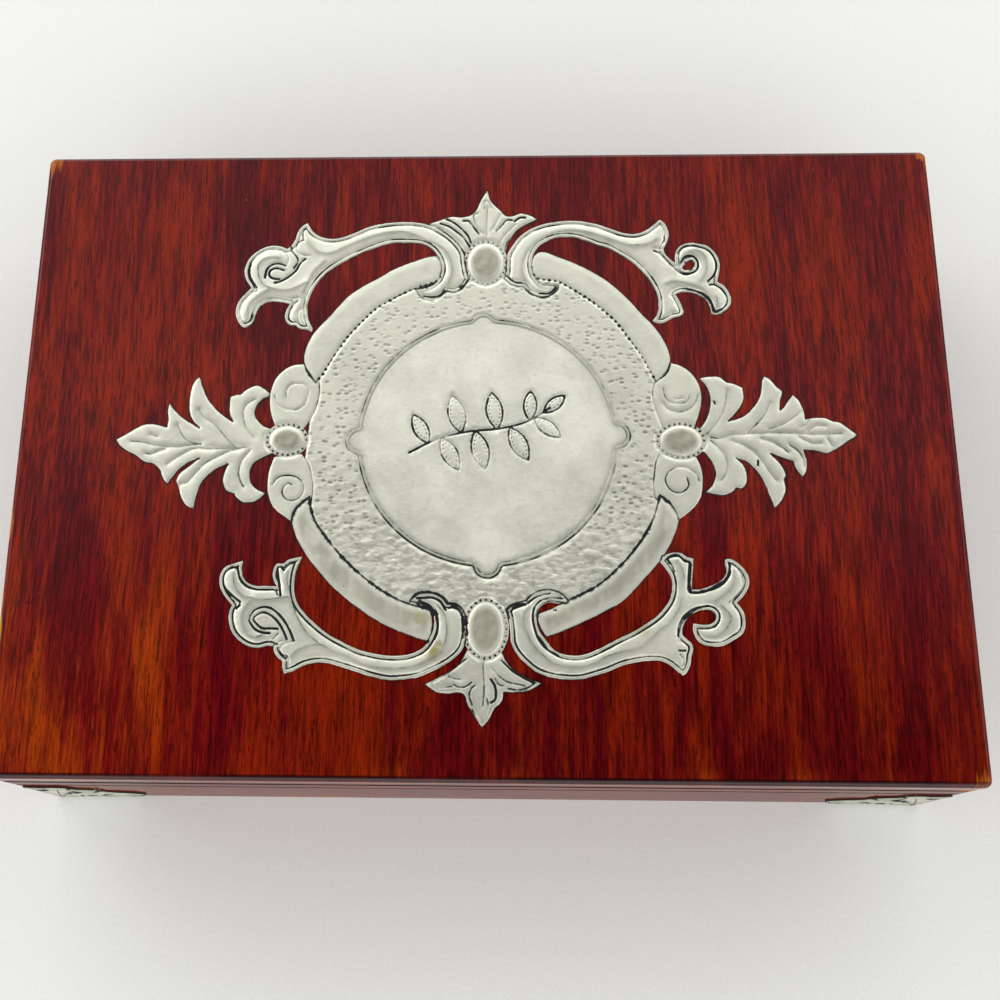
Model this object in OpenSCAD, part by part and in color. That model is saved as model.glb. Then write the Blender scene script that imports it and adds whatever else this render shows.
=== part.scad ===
// Tea bag organizer box: a shallow hinged wooden box with twelve compartments,
// a repousse pewter cartouche on the lid and two pewter mounts on the front corners.
// Millimetres, +Z up, the front faces -Y. The origin is the centre of the underside.

/* [Box] */
// Width of the lid panel
box_w = 300; // [260:1:360]
// Depth of the lid panel, front to back
box_d = 210; // [200:1:260]
// Height of the closed box
box_h = 76; // [66:1:110]
// Thickness of the four walls and of the lid rails
wall_t = 9; // [8:0.5:12]
// Thickness of the plywood base
base_t = 4; // [3:0.5:6]
// How far the base reaches into the rebate of each wall
base_lap = 4.5; // [3:0.5:6]
// Gap between the closed lid and the body
lid_gap = 0.4; // [0.3:0.1:0.8]

/* [Lid] */
// Height of the whole lid
lid_h = 19; // [17:1:24]
// Thickness of the lid panel
panel_t = 5; // [4:0.5:6]
// How far the lid panel stands past the rails all round
panel_lip = 0.5; // [0.2:0.1:2]
// Rounding of the panel's upper edge and of its corners
panel_round = 1.5; // [0.5:0.1:2.5]

/* [Compartments] */
// Thickness of the dividers
divider_t = 4; // [3:0.5:5]
// Height of the dividers above the base
divider_h = 46; // [30:1:48]
// Clearance of a half-lap slot, each side
lap_play = 0.1; // [0.05:0.05:0.3]

/* [Hinges] */
// Distance of each hinge from the middle of the box
hinge_x = 90; // [60:1:110]
// Length of a hinge
hinge_len = 25; // [20:1:30]
// How far the hinge pin lies inside the back face
pin_inset = 3; // [2.6:0.1:3.4]
// Slope of each bevel that lets the lid lean back
bevel_angle = 51; // [46:1:54]
// Radius of the hinge knuckles
knuckle_r = 1.5; // [1.3:0.1:1.7]
// Radius of the hinge pin
pin_r = 0.7; // [0.6:0.05:0.8]
// Running clearance of the pin in the lid leaf's knuckles
pin_play = 0.05; // [0.02:0.01:0.1]
// Gap between two knuckles
knuckle_gap = 0.2; // [0.1:0.05:0.4]
// Thickness of a hinge leaf
leaf_t = 0.8; // [0.6:0.1:1]
// Clearance of the leaf and the barrel in the wood
mortise_play = 0.3; // [0.2:0.1:0.5]
// Radius of a hinge screw's head
screw_head_r = 1.5; // [1.3:0.1:1.6]
// Radius of a hinge screw's shank
screw_r = 0.8; // [0.6:0.1:1]
// Length of a hinge screw
screw_len = 8; // [6:1:9]

/* [Pewter] */
// Width of the lid cartouche from leaf tip to leaf tip
cartouche_w = 237.4; // [200:0.1:250]
// Thickness of the pewter sheet
pewter_t = 0.5; // [0.4:0.1:0.8]
// Height of the chased relief above the sheet
relief_h = 0.6; // [0.3:0.1:1]
// Width of the flat rim left round every raised form
rim_w = 1.1; // [0.8:0.1:1.5]
// Height and length of a front corner mount
corner_size = 38; // [28:1:40]
// Height of the corner mounts above the underside
corner_lift = 0.6; // [0.5:0.1:2]

/* [Hidden] */

wood = "#5c1613";
wood_edge = "#8a3b16";
brass = "#b8923f";
pewter = "#c9cabb";

$fn = 48;
cut = 1;                                        // how far a cutting tool overshoots
columns = 4;                                    // compartments side by side
rows = 3;                                       // compartments front to back
half_w = box_w / 2 - panel_lip;                 // outer face of the side walls
half_d = box_d / 2 - panel_lip;                 // outer face of the front and back walls
inner_w = 2 * (half_w - wall_t);
inner_d = 2 * (half_d - wall_t);
body_h = box_h - lid_h - lid_gap;
rail_z = body_h + lid_gap;                      // underside of the lid rails
rail_h = lid_h - panel_t;
pin_y = half_d - pin_inset;
pin_z = body_h + lid_gap / 2;
cell_w = (inner_w - (columns - 1) * divider_t) / columns;
cell_d = (inner_d - (rows - 1) * divider_t) / rows;
divider_play = 0.2;                             // end clearance of a divider between the walls
rabbet_d = wall_t / 2;                          // depth of the corner rabbets

// ---------------------------------------------------------------- wooden body

// A cube given by its lowest and its highest corner
module block(low, high) {
    translate(low) cube(high - low);
}

// The V of one bevel behind the hinge axis: side is -1 below the split, 1 above it
module bevel_cut(side) {
    reach = pin_inset + panel_lip + cut;
    rise = reach * tan(bevel_angle);
    translate([-half_w - cut, pin_y, pin_z])
        rotate([90, 0, 90])
            linear_extrude(2 * (half_w + cut))
                polygon([[0, 0], [reach, 0], [reach, side * rise]]);
}

// The round channel that clears the knuckles, and the shallow bed of one leaf
module hinge_mortise(side) {
    length = hinge_len + 2 * mortise_play;
    bed = side < 0 ? body_h - leaf_t : rail_z;
    for (x = [-hinge_x, hinge_x]) {
        translate([x - length / 2, pin_y, pin_z])
            rotate([0, 90, 0])
                cylinder(r = knuckle_r + mortise_play, h = length);
        translate([x - length / 2, half_d - wall_t - cut, bed - (side < 0 ? 0 : cut)])
            cube([length, wall_t - pin_inset + cut, leaf_t + cut]);
        for (dx = screw_places())
            translate([x + dx, screw_y(), pin_z])
                mirror([0, 0, side < 0 ? 1 : 0])
                    cylinder(r = screw_r, h = screw_len + pilot_spare);
    }
}

// Front or back wall of the body: its ends are rabbeted for the side walls
module cross_wall() {
    difference() {
        block([-half_w, half_d - wall_t, 0], [half_w, half_d, body_h]);
        for (side = [0, 1])
            mirror([side, 0, 0])
                block([half_w - wall_t, half_d - wall_t - cut, -cut],
                      [half_w + cut, half_d - rabbet_d, body_h + cut]);
        block([-half_w + base_lap, half_d - wall_t - cut, -cut],
              [half_w - base_lap, half_d - wall_t + base_lap, base_t]);
    }
}

module front_wall() {
    color(wood)
        mirror([0, 1, 0])
            cross_wall();
}

module back_wall() {
    color(wood)
        difference() {
            cross_wall();
            bevel_cut(-1);
            hinge_mortise(-1);
        }
}

// Side wall: its ends fill the rabbets of the front and back walls
module side_wall() {
    end_y = half_d - rabbet_d;
    difference() {
        block([half_w - wall_t, -end_y, 0], [half_w, end_y, body_h]);
        block([half_w - wall_t - cut, -end_y - cut, -cut],
              [half_w - wall_t + base_lap, end_y + cut, base_t]);
    }
}

module left_wall() {
    color(wood)
        mirror([1, 0, 0])
            side_wall();
}

module right_wall() {
    color(wood)
        side_wall();
}

module base_panel() {
    color(wood_edge)
        block([-half_w + wall_t - base_lap, -half_d + wall_t - base_lap, 0],
              [half_w - wall_t + base_lap, half_d - wall_t + base_lap, base_t]);
}

// ---------------------------------------------------------------- dividers

function column_x(i) = -inner_w / 2 + i * (cell_w + divider_t) - divider_t / 2;
function row_y(i) = -inner_d / 2 + i * (cell_d + divider_t) - divider_t / 2;

// Divider along X, slotted from above where the cross dividers drop in
module long_divider(y) {
    half = inner_w / 2 - divider_play;
    difference() {
        block([-half, y - divider_t / 2, base_t], [half, y + divider_t / 2, base_t + divider_h]);
        for (i = [1 : columns - 1])
            translate([column_x(i) - divider_t / 2 - lap_play, y - divider_t, base_t + divider_h / 2])
                cube([divider_t + 2 * lap_play, 2 * divider_t, divider_h]);
    }
}

// Divider along Y, slotted from below to sit astride the long dividers
module cross_divider(x) {
    half = inner_d / 2 - divider_play;
    difference() {
        block([x - divider_t / 2, -half, base_t], [x + divider_t / 2, half, base_t + divider_h]);
        for (i = [1 : rows - 1])
            translate([x - divider_t, row_y(i) - divider_t / 2 - lap_play, base_t - cut])
                cube([2 * divider_t, divider_t + 2 * lap_play, divider_h / 2 + cut]);
    }
}

module long_divider_front() {
    color(wood_edge)
        long_divider(row_y(1));
}

module long_divider_rear() {
    color(wood_edge)
        long_divider(row_y(2));
}

module cross_divider_left() {
    color(wood_edge)
        cross_divider(column_x(1));
}

module cross_divider_middle() {
    color(wood_edge)
        cross_divider(column_x(2));
}

module cross_divider_right() {
    color(wood_edge)
        cross_divider(column_x(3));
}

// ---------------------------------------------------------------- lid

// A plate with rounded corners and a rounded upper edge, from rounded bars and flat blocks
module rounded_plate(w, d, t, r) {
    x = w / 2 - r;
    y = d / 2 - r;
    for (i = [-1, 1]) {
        for (j = [-1, 1]) {
            translate([i * x, j * y, 0])
                cylinder(r = r, h = t - r);
            translate([i * x, j * y, t - r])
                sphere(r = r);
        }
        translate([i * x, -y, t - r])
            rotate([-90, 0, 0])
                cylinder(r = r, h = 2 * y);
        translate([-x, i * y, t - r])
            rotate([0, 90, 0])
                cylinder(r = r, h = 2 * x);
    }
    block([-x, -y - r, 0], [x, y + r, t - r]);
    block([-x - r, -y, 0], [x + r, y, t - r]);
    block([-x, -y, 0], [x, y, t]);
}

module lid_panel() {
    color(wood)
        translate([0, 0, box_h - panel_t])
            rounded_plate(box_w, box_d, panel_t, panel_round);
}

// Front or back rail of the lid, rabbeted at both ends
module cross_rail() {
    difference() {
        block([-half_w, half_d - wall_t, rail_z], [half_w, half_d, rail_z + rail_h]);
        for (side = [0, 1])
            mirror([side, 0, 0])
                block([half_w - wall_t, half_d - wall_t - cut, rail_z - cut],
                      [half_w + cut, half_d - rabbet_d, rail_z + rail_h + cut]);
    }
}

module lid_front_rail() {
    color(wood)
        mirror([0, 1, 0])
            cross_rail();
}

module lid_back_rail() {
    color(wood)
        difference() {
            cross_rail();
            bevel_cut(1);
            hinge_mortise(1);
        }
}

module side_rail() {
    end_y = half_d - rabbet_d;
    block([half_w - wall_t, -end_y, rail_z], [half_w, end_y, rail_z + rail_h]);
}

module lid_left_rail() {
    color(wood)
        mirror([1, 0, 0])
            side_rail();
}

module lid_right_rail() {
    color(wood)
        side_rail();
}

// ---------------------------------------------------------------- hinges

knuckle_count = 5;
knuckle_len = (hinge_len - (knuckle_count - 1) * knuckle_gap) / knuckle_count;
leaf_setback = 0.5;                             // the leaf stops short of the inner face
leaf_inner_y = half_d - wall_t + leaf_setback;
root_lap = 0.5;                                 // how far a knuckle's root reaches into its leaf
screw_pitch = 0.34 * hinge_len;                 // between two screws of a leaf
head_margin = 0.2;                              // between a screw's head and the barrel
pilot_spare = 2;                                // how much deeper a pilot hole is than its screw
screw_point = 1;                                // length of a screw's tapered point
point_r = 0.2;
slot_len = 1.8;                                 // cross slot of a screw
slot_w = 0.35;
slot_depth = 0.3;

function knuckle_start(i) = -hinge_len / 2 + i * (knuckle_len + knuckle_gap);
function screw_places() = [-screw_pitch, 0, screw_pitch];
function screw_y() = pin_y - knuckle_r - mortise_play - screw_head_r - head_margin;

// One leaf: side is -1 for the leaf let into the body, 1 for the leaf let into the lid
module hinge_leaf(side) {
    first = side < 0 ? 0 : 1;
    plate_z = side < 0 ? body_h - leaf_t : rail_z;
    hole_r = pin_r + (side < 0 ? 0 : pin_play);
    plate_edge = pin_y - knuckle_r - knuckle_gap;
    difference() {
        union() {
            block([-hinge_len / 2, leaf_inner_y, plate_z], [hinge_len / 2, plate_edge, plate_z + leaf_t]);
            for (i = [first : 2 : knuckle_count - 1]) {
                translate([knuckle_start(i), plate_edge - root_lap, plate_z])
                    cube([knuckle_len, pin_y - plate_edge + root_lap, leaf_t]);
                translate([knuckle_start(i), pin_y, pin_z])
                    rotate([0, 90, 0])
                        cylinder(r = knuckle_r, h = knuckle_len);
            }
        }
        translate([-hinge_len / 2 - cut, pin_y, pin_z])
            rotate([0, 90, 0])
                cylinder(r = hole_r, h = hinge_len + 2 * cut);
        for (dx = screw_places())
            translate([dx, screw_y(), pin_z])
                mirror([0, 0, side < 0 ? 1 : 0])
                    countersink();
    }
}

// The screw's form, from the split plane into the wood
module countersink() {
    start = lid_gap / 2;
    cylinder(r = screw_head_r, h = start);
    translate([0, 0, start])
        cylinder(r1 = screw_head_r, r2 = screw_r, h = leaf_t);
    cylinder(r = screw_r, h = start + leaf_t + cut);
}

module hinge_pin(x) {
    color(brass)
        translate([x - hinge_len / 2, pin_y, pin_z])
            rotate([0, 90, 0])
                cylinder(r = pin_r, h = hinge_len);
}

module hinge_left_body_leaf() {
    color(brass)
        translate([-hinge_x, 0, 0])
            hinge_leaf(-1);
}

module hinge_left_lid_leaf() {
    color(brass)
        translate([-hinge_x, 0, 0])
            hinge_leaf(1);
}

module hinge_left_pin() {
    hinge_pin(-hinge_x);
}

module hinge_right_body_leaf() {
    color(brass)
        translate([hinge_x, 0, 0])
            hinge_leaf(-1);
}

module hinge_right_lid_leaf() {
    color(brass)
        translate([hinge_x, 0, 0])
            hinge_leaf(1);
}

module hinge_right_pin() {
    hinge_pin(hinge_x);
}

// Countersunk screw: flush head, plain shank and a cross slot
module screw() {
    start = lid_gap / 2;
    difference() {
        union() {
            translate([0, 0, start])
                cylinder(r1 = screw_head_r, r2 = screw_r, h = leaf_t);
            translate([0, 0, start])
                cylinder(r = screw_r, h = screw_len - screw_point);
            translate([0, 0, start + screw_len - screw_point])
                cylinder(r1 = screw_r, r2 = point_r, h = screw_point);
        }
        for (turn = [0, 90])
            rotate([0, 0, turn])
                cube([slot_len, slot_w, 2 * (start + slot_depth)], center = true);
    }
}

module leaf_screws(side) {
    for (x = [-hinge_x, hinge_x])
        for (dx = screw_places())
            translate([x + dx, screw_y(), pin_z])
                mirror([0, 0, side < 0 ? 1 : 0])
                    screw();
}

module body_leaf_screws() {
    color(brass)
        leaf_screws(-1);
}

module lid_leaf_screws() {
    color(brass)
        leaf_screws(1);
}

// ---------------------------------------------------------------- pewter outlines
// The cartouche is drawn about the middle of its frame. A third value of 1 marks a sharp corner;
// every other knot is passed smoothly.

// Scrolled arm at the back left
arm_tl = [
    [-59.3, 78.7, 1], [-57.2, 75.4], [-54.5, 73.5], [-51, 72.8], [-47, 73.4], [-43, 75],
    [-38, 77.2], [-33, 78.4], [-28, 78.9], [-23, 78.8], [-18.2, 77.8], [-13, 75], [-9, 71.5],
    [-6.4, 67.6], [-5.6, 63], [-5, 59.5], [-4.2, 57.4, 1], [-6.5, 54.4], [-9.3, 52.8],
    [-11.7, 53.3, 1], [-13.6, 51.4], [-16, 50.1], [-18.4, 50], [-20.4, 51.2], [-22.1, 53.9, 1],
    [-18.3, 54.8], [-15.6, 56.4], [-14, 59], [-13.6, 62], [-14.6, 65.5], [-17, 68.7], [-20.5, 70.6],
    [-26, 71.1], [-31, 70.9], [-36, 69.3], [-44, 65.6], [-49.5, 62.2], [-53.5, 58.5], [-56.6, 53.5],
    [-58, 48.5], [-57.6, 43.5], [-56, 40, 1], [-56.3, 38.7, 1], [-57.5, 39.4], [-60, 39.7],
    [-61.8, 41, 1], [-63.6, 41.2], [-65, 42.4], [-65.5, 44.5], [-65, 46.8], [-64, 48.8, 1],
    [-67, 49.6], [-71, 49.7], [-73.6, 48.4], [-75, 46], [-75.7, 42.9], [-77.2, 41], [-79, 40.5],
    [-80.6, 41.9], [-81.8, 44.5], [-82, 47.5], [-81, 50.3], [-79, 52.9], [-77.4, 54.7, 1],
    [-79.2, 57.6], [-79.9, 61], [-79, 64.6], [-77, 67.3], [-74, 69.4], [-71, 70.3], [-68, 70],
    [-65.8, 69.1, 1], [-64.4, 70.3], [-63.2, 72.6], [-62.6, 75], [-61.4, 77.2]
];

// Scrolled arm at the back right
arm_tr = [
    [59.5, 79.2, 1], [57.3, 77], [54.5, 75], [51, 74], [47, 74.5], [43, 76], [38, 77.8], [33, 78.8],
    [28.5, 79], [24, 78.5], [20, 77.6], [16, 75.8], [12.5, 73], [10, 69.5], [8.6, 66.8], [8.2, 64],
    [8, 60], [7.4, 57.6, 1], [9.5, 55.7], [11.8, 54.9], [13.8, 54.8, 1], [15.5, 52.8], [17.8, 51.4],
    [20.5, 50.9], [23, 51.8], [25, 53.6], [25.4, 55.3, 1], [22.5, 55.2], [20, 55.4], [18.2, 57.3],
    [16.9, 60], [16.6, 64], [17.4, 67], [19.3, 69.8], [22.5, 71.8], [26.5, 72.9], [31, 72.7],
    [35, 71.4], [38.5, 69.9], [42, 68.8], [46, 66.3], [50, 63.5], [53.5, 59.8], [56, 56],
    [57.7, 52], [58.1, 48], [57.5, 44.5], [56, 42.3, 1], [57.5, 41.6], [59.5, 41.6], [61.5, 42.6],
    [63, 43.3], [65, 43.9], [66.3, 44.8], [66.1, 47], [65.2, 49.5], [64, 51.7, 1], [66, 52.6],
    [69, 52.4], [72, 51.2], [73.8, 49.8], [74.8, 47.5], [75.4, 44.7, 1], [77, 44.4], [79.5, 45.5],
    [81.5, 47.3], [82.2, 49.7], [81.6, 52.3], [80, 54.8], [78, 56.3, 1], [78.4, 58.3], [79, 61],
    [78.9, 64], [77.6, 67], [75.2, 69.4], [72.5, 70.2], [70, 70.6], [67, 69.9], [65.1, 68.2],
    [64.3, 65.8], [64.2, 63.2, 1], [62.6, 64.6], [61, 66.6], [60.6, 68.4, 1], [61.8, 70.8],
    [62.6, 73.5], [62.2, 76], [61, 78.2]
];

// Scrolled arm at the front left
arm_bl = [
    [-60.2, -74.1, 1], [-57.5, -73.3], [-54, -71.5], [-50.5, -70.7], [-47, -70.8], [-43, -71.9],
    [-38, -73.4], [-33, -75], [-28, -75.9], [-24, -75.7], [-19.5, -75], [-15.5, -73.4],
    [-11.5, -71.4], [-8, -69], [-5.6, -66.2], [-4.7, -63], [-4.5, -59], [-4.8, -56], [-6, -53.7],
    [-8, -52.3], [-10.3, -52.2, 1], [-11.8, -50.3], [-14, -49], [-17, -48.6], [-20, -49.2],
    [-22.2, -51.5, 1], [-19.5, -52], [-16.6, -53], [-15, -55], [-14.5, -58], [-15, -61],
    [-16.4, -64.1], [-18, -66], [-20.5, -67.4], [-23, -68.1], [-26.5, -68.4], [-30, -68.2],
    [-34, -67.5], [-38, -66.4], [-43, -64], [-47, -61.8], [-51, -58.8], [-54, -56], [-56.5, -53],
    [-57.8, -50], [-58.2, -46], [-57.8, -42], [-56.8, -38.9], [-56.1, -37.3, 1], [-58.5, -37.8],
    [-60.5, -38.3], [-62, -39.6, 1], [-64, -39.6], [-65, -41], [-65.3, -43.5], [-64.8, -45.3],
    [-63.9, -46.8, 1], [-67, -46.7], [-70, -46.7], [-72.5, -46], [-74.3, -44.2], [-75, -41.5],
    [-74.8, -38.7, 1], [-77, -39.5], [-80, -40.6], [-81.6, -42.6], [-82, -45], [-81.5, -47.6],
    [-79.8, -50.5], [-77.6, -53, 1], [-78.3, -55], [-78.2, -58], [-77, -61.5], [-74.5, -64.2],
    [-71.5, -65.9], [-68.5, -66.3], [-65.5, -65.6], [-63.9, -65.8, 1], [-63.6, -67.5],
    [-62.2, -69.5], [-61, -70.3], [-60.9, -72.3]
];

// Scrolled arm at the front right
arm_br = [
    [61.2, -74, 1], [62.5, -72.8], [63.6, -70.5], [64, -68], [64.6, -66], [64.3, -64.2],
    [62.8, -62.8], [61.5, -61.5, 1], [61.6, -59.5], [62.8, -57], [65, -55], [67.5, -53.9],
    [70, -53.8], [71.7, -54.9], [71.8, -56.5], [70.6, -57.9], [68, -58.3], [65, -57.9, 1],
    [64.8, -60], [65.8, -62.8], [67.8, -64.5], [70.8, -65], [73.8, -64.7], [77, -63], [79.8, -61],
    [80.8, -58.5], [80.8, -55.5], [79.8, -53], [78.6, -51.5, 1], [80.3, -49.8], [82.3, -46.8],
    [82.7, -43.8], [81.6, -41.2], [79.2, -38.6], [77, -37.5], [75.5, -37.8, 1], [75.4, -39.5, 1],
    [75.9, -41.5], [75, -43.4], [73.3, -45], [70.5, -46.3], [67.5, -47.2], [65.1, -47.3, 1],
    [65.3, -44], [65.7, -40.5], [66, -37.5, 1], [64, -37], [62.4, -35.9], [60.3, -35.6],
    [58, -36.2], [56.2, -37, 1], [55.6, -38.8, 1], [57, -40.5], [58.6, -43.5], [58.9, -47],
    [58, -50.5], [56, -53.5], [53.5, -56], [50, -58.4], [46, -60.8], [42, -62.7], [38, -64.8],
    [34, -66.8], [31, -67.8], [28, -68], [25, -67.5], [22, -65.9], [20, -63.3], [18, -60.5],
    [17.2, -57.5], [17.4, -54.8], [18.6, -52.5], [21, -51.2], [23.5, -51.3], [25.6, -51.9, 1],
    [26.8, -51.4], [26, -49.9], [24, -48.4], [21, -47.6], [18, -48], [15.6, -49.2], [14, -51, 1],
    [11.5, -51.8], [9, -52.9], [7.9, -54.2, 1], [8.6, -57], [9, -61], [9.3, -64.5], [10.8, -67.5],
    [13.5, -70.5], [17, -73.2], [21, -74.6], [26, -75.3], [30.5, -75.2], [35, -74], [39, -72.7],
    [43, -71], [47.5, -69.9], [51.5, -69.4], [55, -69.6], [57.5, -70.8], [59.5, -72.6]
];

// Eye pierced in the curl of the back right arm
hole_tr = [
    [66.7, 61.1], [67.6, 62.8], [69.2, 64.1], [70.6, 63.4], [70.3, 61.7], [68.6, 60.7]
];

// Sliver pierced under the hook of the front right arm
hole_br = [
    [17.7, -55, 1], [18.4, -53], [20.5, -51.7], [24.6, -52.1, 1], [21, -53.9]
];

// Band of the frame, back left
band_ul = [
    [-13.2, 62], [-14.2, 65.3], [-16.7, 66.1], [-21.7, 64.6], [-30, 61], [-35, 57.9], [-40, 54.9],
    [-45, 51], [-50, 44.9], [-55, 39], [-57.5, 34.3], [-58.5, 29.5], [-57.5, 25.5],
    [-54.3, 20.8, 1], [-51.7, 24.3], [-50, 27.7], [-46.7, 33.2], [-43.3, 38.2], [-38.9, 43.2],
    [-35, 47.1], [-30, 50.3], [-25, 53], [-21.1, 54.6], [-15.8, 56.5], [-13.8, 58.6]
];

// Band of the frame, back right
band_ur = [
    [16.6, 62], [17.5, 66], [20, 67.5], [25, 65.8], [30, 63.6], [36, 60.5], [42, 56.3], [48, 50.3],
    [52, 45.5], [56, 40.8], [59.5, 35.3], [61.3, 30], [60.8, 26], [59.5, 23.6], [56.4, 20.9, 1],
    [54, 26], [52, 30], [48.5, 35.5], [44, 42], [39, 47], [34, 51], [28, 55], [25, 56.6],
    [18.8, 57.6], [17.2, 59.2]
];

// Band of the frame, front left
band_ll = [
    [-15, -57.5], [-15.2, -61], [-16.3, -64, 1], [-20, -62.9], [-25, -61], [-30, -58.8],
    [-36, -55.3], [-42, -50.8], [-48, -45.4], [-52.5, -40.3], [-57, -34], [-59, -30], [-60, -25.5],
    [-58.6, -21.5], [-54.7, -17.9, 1], [-54.3, -21], [-52.5, -26], [-49, -31], [-45, -36],
    [-40, -41], [-35, -45.2], [-30, -48.7], [-25, -51.3], [-20, -53], [-16, -54]
];

// Band of the frame, front right
band_lr = [
    [17.4, -57], [18.4, -60], [20, -62.5, 1], [25, -60.6], [31, -58], [37, -55], [43.5, -51.3],
    [48, -46.9], [53, -41.5], [57.2, -36.2], [60, -31], [61.8, -25.2], [60, -20.8],
    [56.4, -17.2, 1], [55.5, -20], [54.3, -24], [51.6, -29.5], [47.5, -35.2], [42.8, -40.4],
    [37.8, -45], [33, -48], [28.5, -50.2], [24.6, -52.1], [21, -53.9], [18, -54.9]
];

// Volute, left of the frame, rear
vol_ul = [
    [-66.8, 5.8, 1], [-68.2, 9.5], [-69, 14], [-68.9, 18], [-67.6, 22], [-65.2, 25], [-62, 26.9],
    [-58.6, 27.4, 1], [-53.3, 22.5, 1], [-52.9, 18], [-53.4, 14], [-54.8, 9.5], [-57.4, 4.8, 1]
];

// Volute, left of the frame, front
vol_ll = [
    [-66.7, -4.5, 1], [-68, -9], [-68.4, -13], [-68.2, -16.5], [-67, -20], [-65, -22.5],
    [-62.5, -24.3], [-60.2, -26, 1], [-54.2, -21, 1], [-53.8, -15], [-54.3, -11], [-55.5, -7],
    [-57.8, -3.6, 1]
];

// Volute, right of the frame, rear
vol_ur = [
    [58.2, 4.8, 1], [56.7, 9], [55.5, 13], [55.2, 17.5], [56.2, 21.5, 1], [61.3, 27.6, 1],
    [64.5, 26.5], [67.5, 24.3], [69.7, 21], [70.8, 17], [70.6, 13], [69.3, 8.5], [68, 5.5, 1]
];

// Volute, right of the frame, front
vol_lr = [
    [57.2, -2.5, 1], [55.5, -6], [54.8, -10], [54.4, -14], [54.7, -18, 1], [61.8, -25.2, 1],
    [65, -22.8], [67.8, -20], [69.5, -16.5], [70, -12], [69.6, -8], [68.2, -4.3, 1]
];

// Palmette at the back
palm_t = [
    [-18.5, 78, 1], [-14, 79.6], [-10.5, 80.8], [-7, 80.6], [-4, 81.3], [-2.2, 83], [-0.5, 87],
    [2, 91.3, 1], [2.6, 87.5], [4, 85.2], [6.2, 83], [8, 81], [10.3, 80.9], [13, 81.9], [16, 81.2],
    [19, 79.4, 1], [16, 78], [13, 76.4], [10.5, 73.7], [8.5, 70], [7.4, 65, 1], [-4.5, 65, 1],
    [-9, 71.5], [-13, 75]
];

// Palmette at the front
palm_b = [
    [-17.2, -77, 1], [-14, -79.2], [-10.5, -79.9], [-6.5, -79.6], [-4.9, -80.6], [-4.2, -83],
    [-2, -86.5], [0.3, -90, 1], [2.5, -87.5], [4, -84.5], [6.5, -82], [7, -79.3, 1], [10.5, -79.4],
    [14, -79], [17, -77.6], [18.7, -76.4, 1], [15, -75.3], [11, -73], [8, -70.2], [6, -66, 1],
    [-4, -66, 1], [-7, -71], [-11, -73.8], [-15, -76]
];

// Acanthus leaf at the left
leaf_l = [
    [-118.7, 1.2, 1], [-114.5, 3.8], [-111.5, 5.7], [-108.5, 6.7], [-105.5, 6.5], [-102.3, 5.6, 1],
    [-102, 8], [-102.4, 11], [-102, 14, 1], [-99.5, 11], [-96, 8], [-91.5, 5.2, 1], [-94, 8],
    [-95.2, 11], [-95.4, 15], [-95, 19], [-94, 21.6], [-92.5, 23.3, 1], [-91.3, 19.5],
    [-89.5, 15.5], [-86.5, 11.8], [-83.5, 9.3], [-80.7, 7.4, 1], [-82, 10], [-82.2, 13],
    [-82.2, 16, 1], [-80, 16.8], [-78.8, 16.8, 1], [-76.5, 18.8], [-73.5, 20], [-71, 18.9],
    [-69, 17.2, 1], [-69.3, 16, 1], [-71, 15.2], [-73, 12.8], [-73.6, 10], [-72.2, 7.4], [-70, 5.6],
    [-66, 4.5, 1], [-66, -3, 1], [-68.5, -4.1], [-71, -5.3], [-73.5, -7.5], [-74.1, -10.5],
    [-73.4, -13.5], [-71.5, -15.4], [-68.6, -16.7, 1], [-70.5, -18.6], [-73, -19.8], [-76, -19.8],
    [-78.2, -18.3], [-79, -17, 1], [-81.5, -16], [-82.8, -13.5], [-82.8, -10.8], [-81.6, -7.1, 1],
    [-84.5, -8.4], [-87.5, -10.8], [-89.8, -14], [-91, -18], [-91.6, -21.9, 1], [-94, -21],
    [-96, -18], [-97, -15], [-98, -12.6, 1], [-97, -10.2], [-94.5, -8], [-91, -5.1, 1],
    [-94.5, -6.8], [-98, -10], [-100.6, -14, 1], [-102.3, -12], [-103.6, -9], [-105.8, -7],
    [-108.5, -6.5], [-111.5, -4.3], [-114.5, -2.8], [-117.3, -0.8]
];

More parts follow.
